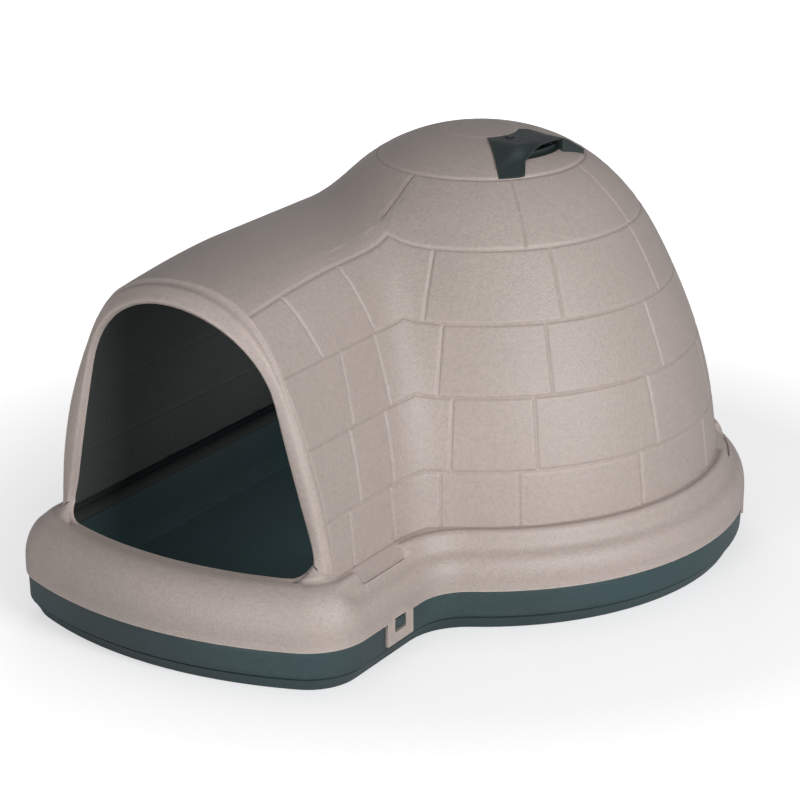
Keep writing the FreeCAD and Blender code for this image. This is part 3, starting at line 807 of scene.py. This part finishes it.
# %% Columns round the foot
tab_half, window_half, slot_half = 33.0, 14.5, 46.5
tab_marks = (0.0, window_half, 24.0, tab_half, 40.0, slot_half, 51.0, 54.0, 57.0, 60.0, 63.0,
             67.0, 72.0, 80.0)
tab_y, tab_angles = -488.0, (31.0, 149.0)
valley_piece, dome_piece, bow_piece, corner_pieces = 1, 2, 5, (4, 6)


def spacing_on(number, spacing, corner_spacing):
    """Spacing of the columns on one piece of the outline."""
    gaps = {valley_piece: 13.0, bow_piece: min(spacing, 14.0)}
    return corner_spacing if number in corner_pieces else gaps.get(number, spacing)


def outline_columns(marks, spacing, corner_spacing):
    """Spots on the skirt's face, outward ways and distance from the nearest tab's middle."""
    spots, ways, tabs = [], [], []
    for n, piece in enumerate(pieces):
        straight = piece[0] == "line"
        if straight:
            (x0, y0), (_, y1), way = piece[1:]
            length, centres = abs(y1 - y0), [abs(tab_y - y0)]
        else:
            (cx, cy), radius, a0, a1, sign = piece[1:]
            length = abs(a1 - a0) * radius
            centres = [(math.radians(a) - a0) * radius for a in tab_angles if n == dome_piece]
        stops = {c + s * m for c in centres for m in marks for s in (-1, 1)}
        stops = sorted({0.0, length} | {at for at in stops if 1.0 < at < length - 1.0})
        gap = spacing_on(n, spacing, corner_spacing)
        for at, after in zip(stops, stops[1:]):
            parts = max(1, math.ceil((after - at) / gap - 0.02))
            for k in range(parts):
                run = at + (after - at) * k / parts
                if straight:
                    spots.append((x0, y0 + (y1 - y0) * run / length))
                    ways.append(way)
                else:
                    a = a0 + (a1 - a0) * run / length
                    spots.append((cx + radius * math.cos(a), cy + radius * math.sin(a)))
                    ways.append((sign * math.cos(a), sign * math.sin(a)))
                tabs.append(min((run - c for c in centres), key=abs) if centres else no_joint)
    return np.array(spots), np.array(ways), np.array(tabs)


foot_spots, foot_ways, foot_tab = outline_columns(tab_marks, 24.0, 6.5)
print("columns round the foot", len(foot_spots))

# %% Flange section
crest = smooth_line([(-46, 148), (-41, 147.0), (-36, 148), (-30.8, 145.6), (-27.0, 138.5),
                     (-24.2, 130.5), (-20.6, 122.6), (-14.5, 117.0), (-8.0, 110.8), (-2.8, 101),
                     (-0.4, 90), (0, 80)], (1, -0.5), (0, -1))
plain = smooth_line([(-46, 148), (-38, 147.2), (-30, 144.2), (-20, 137), (-10, 124), (-3, 107),
                     (-0.3, 92), (0, 80)], (1, -0.03), (0, -1))
slot_in, slot_out = -27.5, -24.5
window_low, window_high, skirt_low, tab_low, notch_floor = 45.6, 67.6, 65.6, 29.6, 130.0
crest_run = run_along(crest)
profile_at = np.concatenate([np.linspace(0, 30, 13), np.linspace(34, crest_run[-1], 17)])
foot_r, foot_z = (np.interp(profile_at, crest_run, crest[:, k]) for k in (0, 1))
for r in (slot_in, slot_out):
    i = int(np.searchsorted(foot_r, r))
    foot_z = np.insert(foot_z, i, np.interp(r, crest[:, 0], crest[:, 1]))
    foot_r = np.insert(foot_r, i, r)
plain_z = np.where(foot_r > -0.2, foot_z, np.interp(foot_r, plain[:, 0], plain[:, 1]))
below = [window_high, skirt_low, window_low, tab_low + 3.0, tab_low]
foot_r = np.append(foot_r, [0.0] * len(below))
foot_z, plain_z = np.append(foot_z, below), np.append(plain_z, below)
print("flange section has", len(foot_r), "points")

# %% Flange
front_from, front_fade, notch_half, notch_fade = 565.0, 55.0, 63.0, 8.0
frontal = ease((-foot_spots[:, 1] - front_from) / front_fade)
shape = foot_z[:, None] + frontal[None, :] * (plain_z - foot_z)[:, None]
cut = ease((notch_half - np.abs(foot_tab)) / notch_fade)
notch_level = np.interp(foot_r, (-46.0, -28.0), (148.0, notch_floor))
level = shape - cut[None, :] * np.clip(shape - notch_level[:, None], 0, None)
level[0] = foot_z[0]
spots = np.zeros((len(foot_r), len(foot_spots), 3))
spots[..., :2] = foot_spots[None] + foot_r[:, None, None] * foot_ways[None]
spots[..., 2] = level
flange_ids = skin.add(spots)
tab_at = np.append(foot_tab, foot_tab[0])
one_piece = np.abs(np.diff(tab_at)) < 100
cell_at = np.where(one_piece, np.abs(0.5 * (tab_at[:-1] + tab_at[1:])), no_joint)[None, :]
from_z, to_z = foot_z[:-1, None], foot_z[1:, None]
from_r, to_r = foot_r[:-1, None], foot_r[1:, None]
beside_tab = (from_z <= skirt_low + 0.01) & (cell_at > tab_half)
in_window = (from_z <= window_high + 0.01) & (to_z >= window_low - 0.01) & (cell_at < window_half)
in_slot = (slot_in - 0.01 <= from_r) & (to_r <= slot_out + 0.01) & (cell_at < slot_half)
leave = beside_tab | in_window | in_slot
skin.grid(closed_ring(flange_ids), leave)
print("flange", flange_ids.shape, "open cells", int(leave.sum()))

# %% Wall to flange
wall_ids = courses[foot_course][0]
foot_left = next(i for i, (x, y) in enumerate(foot_spots) if x < -417.0 and y < -578.0)
_, valley_f, left_f, start_f, stop_f = side_lines(ring_height[-1])


def round_share(x, y):
    """Place along the wall's foot: right wall 0 to 1, dome 1 to 2, left wall 2 to 3."""
    if x > tunnel_middle and y < valley_f:
        return (y + 579.0) / (valley_f + 579.0)
    if x < tunnel_middle and y < left_f:
        return 2.0 + (left_f - y) / (left_f + 579.0)
    a = math.atan2(y, x)
    a += 2 * math.pi if a < start_f - 1e-9 else 0.0
    return 1.0 + (a - start_f) / (stop_f - start_f)


all_spots = np.concatenate(skin.spots)
upper, lower = list(wall_ids[-1]), list(flange_ids[0, :foot_left + 1])
upper_at, lower_at = (np.maximum.accumulate([round_share(*all_spots[i, :2]) for i in side])
                      for side in (upper, lower))
skin.zip(upper, upper_at, lower, lower_at)
print("wall and flange zipped at", len(upper), "and", len(lower), "points")

# %% [markdown]
# ## Bead round the doorway
# The tunnel ends in a rolled bead that stiffens the doorway: a shallow cove beside the wall,
# a full round, then a lip that turns back into the opening. It is one ring of mesh, from the
# ends of the courses to the edge of the doorway, where the wall's thickness shows.

# %% Doorway outline
door_half, door_lean, sill_z, door_top, door_corner = 219.7, math.radians(13.9), 146.0, 515.0, 25.6
slope, rise = math.sin(door_lean), math.cos(door_lean)
top_round = (door_half * rise - (door_top - sill_z) * slope) / (1.0 - slope)
corner_u = door_half - door_corner * (1.0 + slope) / rise
right_edge = [(0.0, sill_z), (corner_u, sill_z)]
for u, z, radius, angles in (
        (corner_u, sill_z + door_corner, door_corner, np.linspace(-math.pi / 2, door_lean, 24)[1:]),
        (0.0, door_top - top_round, top_round, np.linspace(door_lean, math.pi / 2, 90))):
    right_edge += [(u + radius * math.cos(a), z + radius * math.sin(a)) for a in angles]
right_edge = np.array(right_edge)
door_edge = np.concatenate([right_edge, (right_edge * (-1, 1))[-2::-1]])
dense = np.concatenate([np.linspace(a, b, 12, endpoint=False)
                        for a, b in zip(door_edge, door_edge[1:])])
door_way = np.roll(dense, -1, 0) - np.roll(dense, 1, 0)
door_way /= np.linalg.norm(door_way, axis=1)[:, None]
door_out = np.stack([door_way[:, 1], -door_way[:, 0]], -1)
door_hub = 300.0
door_angle = np.unwrap(np.arctan2(dense[:, 1] - door_hub, dense[:, 0]))
print("doorway top radius", round(top_round, 1), "mm")


# The front bows out and leans back: its radius, middle and lean, and the lean's own stretch.
front_bow, front_middle, front_lean, front_stretch = 326.0, -360.0, 0.115, 1.0066


def front_y_at(u, z):
    """The bowed, leaning front of the tunnel."""
    return front_middle + front_lean * z - front_stretch * np.sqrt(front_bow**2 - u**2)


# %% Bead: from the walls' ends to the doorway
rim = []
for number in (5, 4, 3, 2):
    rim += list(courses[number][0][::-1, -1])
rim += list(roof_ids[-1])
for number in (2, 3, 4, 5):
    rim += list(courses[number][0][:, 0])
sill_from, around_foot = len(rim), flange_ids.shape[1]
rim += [int(flange_ids[0, j % around_foot]) for j in range(around_foot, foot_left - 1, -1)]
rim = np.array(rim)
outer = all_spots[rim]
u, z = outer[:, 0] - tunnel_middle, outer[:, 2]
way = np.arctan2(z - door_hub, u)
way = np.where(way < door_angle[0], way + 2 * np.pi, way)
edge_u, edge_z, out_u, out_z = (np.interp(way, door_angle, values) for values in
                                (dense[:, 0], dense[:, 1], door_out[:, 0], door_out[:, 1]))
lip_width, sill_half, sill_fade, jamb_low, jamb_fade = 5.0, 205.0, 30.0, 150.0, 60.0
on_sill = np.zeros(len(rim))
on_sill[sill_from:] = ease((sill_half - np.abs(u[sill_from:])) / sill_fade)
crest_bow = bow_radius + crest[0, 0]
crest_y = bow_radius - front_reach - np.sqrt(np.clip(crest_bow**2 - u**2, 0, None))
low = ease((edge_z - jamb_low) / jamb_fade)
face_y = (1 - low) * (crest_y + 16.0) + low * front_y_at(edge_u, edge_z)
lip = lip_width * (1 - on_sill)
face = np.stack([tunnel_middle + edge_u + out_u * lip, face_y,
                 edge_z + out_z * lip + 1.5 * on_sill], -1)
print("the bead starts from", len(rim), "points")

# %% Bead: the roll and the lip
forward = np.array([0.0, -1.0, 0.0])
chord = face - outer
length = np.linalg.norm(chord, axis=1)[:, None]
along = chord / length
raised = forward - (along @ forward)[:, None] * along
raised /= np.linalg.norm(raised, axis=1)[:, None]
bulge = smooth_line([(0, 0), (0.12, -1.0), (0.3, 1.5), (0.6, 6.0), (0.85, 4.4), (1.0, 0.0)])
rows = []
for t in (0.05, 0.12, 0.2, 0.3, 0.4, 0.5, 0.6, 0.7, 0.8, 0.88, 0.95, 1.0):
    h = np.interp(t, bulge[:, 0], bulge[:, 1]) * (1 - 0.8 * on_sill)
    h = h * np.clip(length[:, 0] / 34.0, 0.3, 1.0)
    rows.append(outer + t * chord + h[:, None] * raised)
inward = -np.stack([out_u, 0 * out_u, out_z], -1)
drop = np.stack([0 * u, 0 * u, -np.ones_like(u)], -1)
for share, back in ((0.35, 0.8), (0.75, 3.2), (1.0, 7.0)):
    rows.append(face + inward * (share * lip)[:, None] + np.array([0, back, 0])
                + drop * (1.5 * share * on_sill)[:, None])
bead_wall = np.interp(np.arange(len(rows)), (0, 9, 12, 14), (4.6, 3.2, 1.6, 1.0))
bead_ids = skin.add(np.array(rows), 0.0, np.repeat(bead_wall[:, None], len(rim), 1))
bead_ids = np.concatenate([rim[None, :], bead_ids])
skin.grid(closed_ring(bead_ids))
print("bead", bead_ids.shape)

# %% [markdown]
# ## Close the shell
# The outer skin is pushed in at every joint. The inner skin lies a wall's thickness inside,
# with a soft ridge behind each joint, and every open edge is closed between the two. The
# inner skin takes the dark inside colour, which is painted shade. Faces under the vent's
# scoop take the vent's dark colour as painted shade, so the mouth reads as a dark hollow.

# %% Shell faces
spots, dips, walls = (np.concatenate(a) for a in (skin.spots, skin.dips, skin.walls))
faces = skin.faces
normal = np.zeros_like(spots)
for size in (3, 4):
    some = np.array([f for f in faces if len(f) == size])
    across = np.cross(spots[some[:, 2]] - spots[some[:, 0]], spots[some[:, -1]] - spots[some[:, 1]])
    for k in range(size):
        np.add.at(normal, some[:, k], across)
normal /= np.clip(np.linalg.norm(normal, axis=1), 1e-9, None)[:, None]
outer = spots - normal * dips[:, None]
behind_joint = 0.25
inner = spots - normal * (walls + np.clip(dips, 0, None) * behind_joint)[:, None]
total = len(spots)
edges = {}
for f in faces:
    for a, b in zip(f, f[1:] + f[:1]):
        edges[(a, b)] = edges.get((a, b), 0) + 1
rim_edges = [(a, b) for a, b in edges if (b, a) not in edges]
closed = list(faces) + [tuple(int(i) + total for i in reversed(f)) for f in faces]
closed += [(b, a, a + total, b + total) for a, b in rim_edges]
print("faces", len(closed), "edges used twice the same way", sum(n > 1 for n in edges.values()))


# %% Shell mesh
def make_piece(name, points, faces, *materials):
    """A mesh object at the origin, from points in millimetres, shaded smooth."""
    mesh = bpy.data.meshes.new(name)
    mesh.from_pydata((np.asarray(points) * 0.001).tolist(), [], [tuple(map(int, f)) for f in faces])
    mesh.validate()
    mesh.polygons.foreach_set("use_smooth", [True] * len(mesh.polygons))
    for material in materials:
        mesh.materials.append(material)
    piece = bpy.data.objects.new(name, mesh)
    bpy.context.scene.collection.objects.link(piece)
    return piece


shell = make_piece("moulded_shell", np.concatenate([outer, inner]), closed,
                   finish["shell_plastic"], finish["inner_skin"], finish["vent_plastic"])
vent_turn = math.radians(vent_turn_deg)
centre = np.array([spots[[int(i) % total for i in f]].mean(0) for f in closed])
vent_w = centre[:, 0] * math.cos(vent_turn) + centre[:, 1] * math.sin(vent_turn)
vent_v = -centre[:, 0] * math.sin(vent_turn) + centre[:, 1] * math.cos(vent_turn)
# The shell's faces in this box under the scoop take the vent's dark colour: painted shade for the
# dark inside of the mouth.
painted_shade_from, painted_shade_to, painted_shade_half, painted_shade_low = 60.0, 123.5, 46.0, 600.0
painted_shade_under_scoop = ((vent_w > painted_shade_from) & (vent_w < painted_shade_to) & (np.abs(vent_v) < painted_shade_half)
               & (centre[:, 2] > painted_shade_low))
# Slot 1, on the inner skin's faces, is the dark painted shade of the inside.
side_of = np.zeros(len(closed), int)
side_of[len(faces):2 * len(faces)] = 1
side_of[painted_shade_under_scoop] = 2
shell.data.polygons.foreach_set("material_index", side_of.tolist())
shell.data.set_sharp_from_angle(angle=math.radians(50))
shell.data.calc_loop_triangles()
print("shell triangles", len(shell.data.loop_triangles), "rim edges closed", len(rim_edges))
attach(shell, "shell")
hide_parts("upper_shell")

# %% [markdown]
# ## Base pan
# The pan is a shallow tray whose side is two bands with a groove between them. Its section is
# the same all round, and it repeats the outline of the skirt further in. So Geometry Nodes
# sweep the section along the outline, push the upper band in beside each tab, fill the sole
# and the floor, and set a lug in the window of each of the four tabs.

# %% Pan section
pan_section = [(-23.0, 0.0), (-21.0, 0.0), (-19.2, 1.0), (-18.0, 3.0), (-15.2, 9.0), (-11.6, 15.0),
               (-9.4, 18.2), (-9.2, 19.2), (-10.2, 20.0), (-13.4, 20.4), (-13.4, 22.4),
               (-7.4, 22.9), (-5.2, 23.8), (-4.2, 25.6), (-3.9, 29.0), (-3.8, 34.0), (-3.6, 44.0),
               (-3.5, 48.0), (-3.3, 56.0), (-3.1, 62.5), (-3.6, 64.6), (-5.0, 65.3), (-6.2, 65.3),
               (-6.2, 83.0), (-7.0, 84.0), (-9.4, 84.0), (-10.2, 83.0), (-10.2, 31.0),
               (-16.0, 21.0), (-22.0, 8.0), (-24.4, 4.6), (-27.0, 4.0)]
pan_r, pan_z = np.array(pan_section).T
outside_count = 21
pocket_half = 34.0
print("pan section points", len(pan_section))


# %% Helper meshes for the pan
def loose_points(name, points, edges, **values):
    """A mesh of points and edges, in millimetres, with named values at the points."""
    mesh = bpy.data.meshes.new(name)
    mesh.from_pydata((np.asarray(points, float) * 0.001).tolist(), edges, [])
    for key, value in values.items():
        value = np.asarray(value, float)
        kind, field = ("FLOAT", "value") if value.ndim == 1 else ("FLOAT_VECTOR", "vector")
        mesh.attributes.new(key, kind, "POINT").data.foreach_set(field, value.reshape(-1).tolist())
    piece = bpy.data.objects.new(name, mesh)
    bpy.context.scene.collection.objects.link(piece)
    return piece


spots, ways, tabs = outline_columns((0.0, 24.0, 33.0, pocket_half, 35.0, 48.0), 22.0, 13.0)
flat = np.zeros((len(spots), 1))
pan = loose_points("moulded_pan", np.hstack([spots, flat]),
                   [(i, (i + 1) % len(spots)) for i in range(len(spots))],
                   way=np.hstack([ways, flat]),
                   pocket=ease((pocket_half + 0.9 - np.abs(tabs)) / 1.8))
section = loose_points("pan_section", np.stack([pan_r, -pan_z, 0 * pan_r], 1),
                       [(i, i + 1) for i in range(len(pan_r) - 1)],
                       outside=(np.arange(len(pan_r)) < outside_count).astype(float))
tab_turns = np.radians([0.0, 180.0, *tab_angles])
tab_spots = [(skirt_radius - offset_2, tab_y, 0), (-skirt_radius, tab_y, 0)]
tab_spots += [(skirt_radius * math.cos(a), skirt_radius * math.sin(a), 0) for a in tab_turns[2:]]
tab_points = loose_points("tab_points", tab_spots, [], turn=tab_turns)
print("outline points", len(spots), "tabs", len(tab_turns))

# %% Lug
lug_line = [(-7.0, 45.5), (-3.4, 47.4), (-1.2, 51.0), (-0.6, 54.0), (-0.6, 62.9), (-1.5, 64.2),
            (-7.0, 64.3)]
lug_cuts = [(-12.5, 0.9), (-11.4, 0.0), (11.4, 0.0), (12.5, 0.9)]
per = len(lug_line)
lug_ids = closed_ring(np.arange(per * len(lug_cuts)).reshape(len(lug_cuts), per))
lug_faces = [(a, d, c, b) for i, j, (a, b, c, d) in grid_cells(lug_ids)]
lug_faces += [lug_ids[0, per - 1::-1], lug_ids[-1, :per]]
lug = make_piece("lug", [(r - inset, across, z) for across, inset in lug_cuts for r, z in lug_line],
                 lug_faces, finish["pan_plastic"])
print("lug faces", len(lug_faces))

# %% Pan tree: sweep and pockets
sweep = bpy.data.node_groups.new("sweep_pan", "GeometryNodeTree")
socket = {label: sweep.interface.new_socket(label, in_out="INPUT",
                                            socket_type="NodeSocket" + kind).identifier
          for label, kind in {"Outline": "Geometry", "Section": "Object", "Tabs": "Object",
                              "Lug": "Object", "Pocket Depth": "Float", "Pocket Low": "Float",
                              "Floor Height": "Float", "Finish": "Material"}.items()}
sweep.interface.new_socket("Pan", in_out="OUTPUT", socket_type="NodeSocketGeometry")
given = add_node(sweep, "NodeGroupInput", (-1400, 0)).outputs


def step(kind, place, feeds=None, output=0, **settings):
    """One node of the tree; gives back its output."""
    return add_node(sweep, kind, place, feeds, **settings).outputs[output]


def carried(name, kind, place):
    """A value that the points carry."""
    return step("GeometryNodeInputNamedAttribute", place, {"Name": name}, data_type=kind)


def times(first, second, place):
    return calculate(sweep, "MULTIPLY", first, second, place)


path = step("GeometryNodeMeshToCurve", (-1100, 200), {"Mesh": given["Outline"]})
upright = step("GeometryNodeSetCurveNormal", (-900, 200), {"Curve": path}, mode="Z_UP")
section_in = step("GeometryNodeObjectInfo", (-1100, -100), {"Object": given["Section"]}, "Geometry")
section_curve = step("GeometryNodeMeshToCurve", (-900, -100), {"Mesh": section_in})
swept = step("GeometryNodeCurveToMesh", (-700, 100),
             {"Curve": upright, "Profile Curve": section_curve})
point_z = step("ShaderNodeSeparateXYZ", (-700, -350),
               {0: step("GeometryNodeInputPosition", (-900, -350))}, "Z")
above = calculate(sweep, "GREATER_THAN", point_z, given["Pocket Low"], (-500, -350))
on_band = times(above, carried("outside", "FLOAT", (-500, -500)), (-300, -400))
strength = times(on_band, carried("pocket", "FLOAT", (-300, -550)), (-100, -450))
push = times(times(strength, given["Pocket Depth"], (0, -450)), -1.0, (150, -450))
moved = step("ShaderNodeVectorMath", (200, -250),
             {0: carried("way", "FLOAT_VECTOR", (0, -250)), "Scale": push}, operation="SCALE")
pocketed = step("GeometryNodeSetPosition", (200, 100), {"Geometry": swept, "Offset": moved})
print("pan tree nodes", len(sweep.nodes))

# %% Pan tree: sole and floor
lone = calculate(sweep, "LESS_THAN", step("GeometryNodeInputMeshEdgeNeighbors", (-100, 900)), 1.5,
                 (50, 900))
high = calculate(sweep, "GREATER_THAN", point_z, times(given["Floor Height"], 0.5, (50, 700)),
                 (200, 700))
sole_edge = times(lone, calculate(sweep, "SUBTRACT", 1.0, high, (350, 650)), (500, 650))
floor_edge = times(lone, high, (350, 900))


def cap(edge, y):
    """One flat face inside a loop of open edges."""
    loop = step("GeometryNodeMeshToCurve", (600, y), {"Mesh": pocketed, "Selection": edge})
    return step("GeometryNodeFillCurve", (800, y), {"Curve": loop}, mode="NGONS")


def join_up(parts, place):
    joined = add_node(sweep, "GeometryNodeJoinGeometry", place)
    for part in parts:
        sweep.links.new(part, joined.inputs[0])
    return joined.outputs[0]


sole = step("GeometryNodeFlipFaces", (1000, 500), {"Mesh": cap(sole_edge, 500)})
lift = step("ShaderNodeCombineXYZ", (800, 1000), {"Z": given["Floor Height"]})
pan_floor = step("GeometryNodeSetPosition", (1000, 800),
                 {"Geometry": cap(floor_edge, 800), "Offset": lift})
welded = step("GeometryNodeMergeByDistance", (600, 300), {
    "Geometry": join_up((pocketed, sole, pan_floor), (400, 300)), "Distance": 0.00002})
print("pan tree nodes", len(sweep.nodes))

# %% Pan tree: lugs and finish
tabs_in, lug_in = (step("GeometryNodeObjectInfo", (400, y), {"Object": given[label]}, "Geometry")
                   for label, y in (("Tabs", -100), ("Lug", -300)))
facing = step("ShaderNodeCombineXYZ", (550, -450), {"Z": carried("turn", "FLOAT", (400, -500))})
lugs = step("GeometryNodeInstanceOnPoints", (700, -150),
            {"Points": tabs_in, "Instance": lug_in, "Rotation": facing})
real = step("GeometryNodeRealizeInstances", (1200, 100), {0: join_up((welded, lugs), (1000, 100))})
painted = step("GeometryNodeSetMaterial", (1400, 100),
               {"Geometry": real, "Material": given["Finish"]})
add_node(sweep, "NodeGroupOutput", (1600, 0), {0: painted})
print("pan tree nodes", len(sweep.nodes))

# %% Grow the pan
def apply_modifiers(piece):
    """Turn the evaluated piece into a plain mesh and drop its modifiers."""
    seen = piece.evaluated_get(bpy.context.evaluated_depsgraph_get())
    mesh = bpy.data.meshes.new_from_object(seen)
    piece.modifiers.clear()
    piece.data = mesh
    mesh.name = piece.name
    return mesh


grow = pan.modifiers.new("sweep", "NODES")
grow.node_group = sweep
for label, value in {"Section": section, "Tabs": tab_points, "Lug": lug, "Pocket Depth": 0.0021,
                     "Pocket Low": 0.0286, "Floor Height": 0.004,
                     "Finish": finish["pan_plastic"]}.items():
    grow[socket[label]] = value
mesh = apply_modifiers(pan)
for helper in (section, tab_points, lug):
    bpy.data.objects.remove(helper)
mesh.polygons.foreach_set("use_smooth", [True] * len(mesh.polygons))
mesh.set_sharp_from_angle(angle=math.radians(50))
places = np.array([v.co for v in mesh.vertices])
print("pan", len(mesh.polygons), "faces from", places.min(0).round(3), "to", places.max(0).round(3))
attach(pan, "base")
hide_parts("base_pan")

# %% [markdown]
# ## Vent hood
# The hood is a thin dark sector of the roof that swells into a scoop. The swell starts at
# the cap, grows outward and ends in a mouth that looks down the roof, with a short front
# wall beside it. Its height over the roof is one smooth function, so a grid of points by
# angle and reach gives the whole skin, and Solidify gives it a wall. Behind the mouth the
# scoop stands full, which leaves room for the shutter's finger tab to swing.

# %% Hood shape
hood_half, hood_in, hood_out, hood_lift, hood_wall = 38.7, 55.6, 157.0, 1.0, 2.4
mouth_at, step_deg, far_deg, jamb_v, jamb_in = 125.0, -18.7, 19.4, 42.5, 92.0
roof_level, swell, foot_sink = 645.3, 7.0, 1.5
across = (-140, -98, -72, -56, -47, -40, -30, -18, -6, 6, 20, 36, 46, 60, 80, 98, 140)
mouth_z = (566, 590, 604, 613.5, 620.5, 626.5, 634.5, 641, 644.2, 645.1, 645.3, 644.8, 642.8, 636,
           625, 614.5, 588)
full_z = (588, 614.5, 628.5, 637.5, 642.4, 644.8, 645.3, 645.3, 645.3, 645.3) + mouth_z[10:]
at_mouth, behind = (smooth_line(list(zip(across, z)), count=600) for z in (mouth_z, full_z))


def scoop_height(w, v):
    """Height of the scoop's roof; at the mouth its near side slopes, further in it stands full."""
    share = ease((w - 107.0) / 17.0)
    return (share * np.interp(v, at_mouth[:, 0], at_mouth[:, 1])
            + (1 - share) * np.interp(v, behind[:, 0], behind[:, 1]))


def hood_height(reach, angle):
    """Height of the hood: the roof's own skin or the scoop, softly blended."""
    skin_z = dome_height(reach) + hood_lift
    scoop_z = scoop_height(reach * np.cos(angle), reach * np.sin(angle))
    mix = np.clip(swell - np.abs(skin_z - scoop_z), 0, None) / swell
    return np.minimum(np.maximum(skin_z, scoop_z) + mix * mix * swell * 0.25, roof_level)


print("the scoop stands", round(float(hood_height(120.0, 0.0) - dome_height(120.0)), 1),
      "mm over the roof at its mouth")

# %% Hood skin
hood_angles = [a for start, stop, count in ((-hood_half, step_deg, 13), (step_deg, far_deg, 31),
                                            (far_deg, hood_half, 14))
               for a in np.linspace(start, stop, count).tolist()]
hood_angles = np.radians(sorted(set(hood_angles)))
step_limit = math.radians(step_deg) + 1e-6
mouth_row = 26
mouth_reach = np.minimum(mouth_at / np.cos(hood_angles), hood_out - 1.0)
hood_reach = np.concatenate([
    hood_in + np.linspace(0, 1, mouth_row + 1)[:, None] * (mouth_reach - hood_in),
    mouth_reach + np.linspace(0, 1, 7)[1:, None] * (hood_out - mouth_reach)])
past = np.clip((hood_reach - mouth_reach) / (hood_out - mouth_reach), 0, 1)
angle = np.repeat(hood_angles[None], len(hood_reach), 0)
hood_start = math.radians(hood_half)
squeezed = -hood_start + (angle + hood_start) * (1.0 - 0.27 * past)
angle = np.where(angle < step_limit, squeezed, angle)
hood_points = polar(hood_reach, angle + vent_turn, hood_height(hood_reach, angle))
ids = np.arange(angle.size).reshape(angle.shape)
hood_points = list(hood_points.reshape(-1, 3))
hood_faces = [cell for i, j, cell in grid_cells(ids)
              if i < mouth_row or hood_angles[j + 1] <= step_limit]
print("hood skin", ids.shape)

# %% Walls of the mouth
mouth_v = hood_reach[mouth_row] * np.array([math.sin(a) for a in hood_angles])
front = [j for j in range(ids.shape[1]) if mouth_v[j] >= jamb_v]
front_tops = [ids[mouth_row, j] for j in front]
corner = len(hood_points)
for j in front:
    x, y, z = hood_points[ids[mouth_row, j]]
    foot = dome_height(hood_reach[mouth_row, j]) - foot_sink
    hood_points.append(np.array((x, y, min(foot, z - 0.3))))
for k in range(len(front) - 1):
    hood_faces.append((front_tops[k], corner + k, corner + k + 1, front_tops[k + 1]))
jamb_w, edge_v = np.linspace(mouth_at, jamb_in, 8)[1:], mouth_v[front[0]]
jamb_reach, jamb_angle = np.hypot(jamb_w, edge_v), np.arctan2(edge_v, jamb_w)
tops, feet = [front_tops[0]], [corner]
for line, height in ((tops, hood_height(jamb_reach, jamb_angle) - 0.6),
                     (feet, dome_height(jamb_reach) - foot_sink)):
    for w, z in zip(jamb_w, height):
        line.append(len(hood_points))
        hood_points.append(np.array((w * math.cos(vent_turn) - edge_v * math.sin(vent_turn),
                                     w * math.sin(vent_turn) + edge_v * math.cos(vent_turn), z)))
for k in range(len(jamb_w)):
    hood_faces.append((tops[k + 1], feet[k + 1], feet[k], tops[k]))
print("front wall", len(front), "points, jamb", len(jamb_w))

# %% Hood mesh
hood = make_piece("vent_scoop", np.array(hood_points), hood_faces, finish["vent_plastic"])
wall = hood.modifiers.new("wall", "SOLIDIFY")
wall.thickness, wall.offset, wall.use_even_offset = hood_wall * 0.001, -1.0, False
soften = hood.modifiers.new("soft_edges", "BEVEL")
soften.width, soften.segments, soften.limit_method = 0.0006, 2, "ANGLE"
soften.angle_limit = math.radians(50)
mesh = apply_modifiers(hood)
mesh.set_sharp_from_angle(angle=math.radians(45))
print("hood faces", len(mesh.polygons))
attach(hood, "shell")
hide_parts("vent_hood")

# %% [markdown]
# ## Finish of the carried-over pieces
# The cap, the push pin, the shutter and its clip are small and plain, so they keep their CAD
# shapes and only take the finish of the plastic around them.

# %% Paint the frame
for name, node in nodes.items():
    node.data.materials.clear()
    node.data.materials.append(finish[slot_of[name]])
print("painted", sorted(nodes))
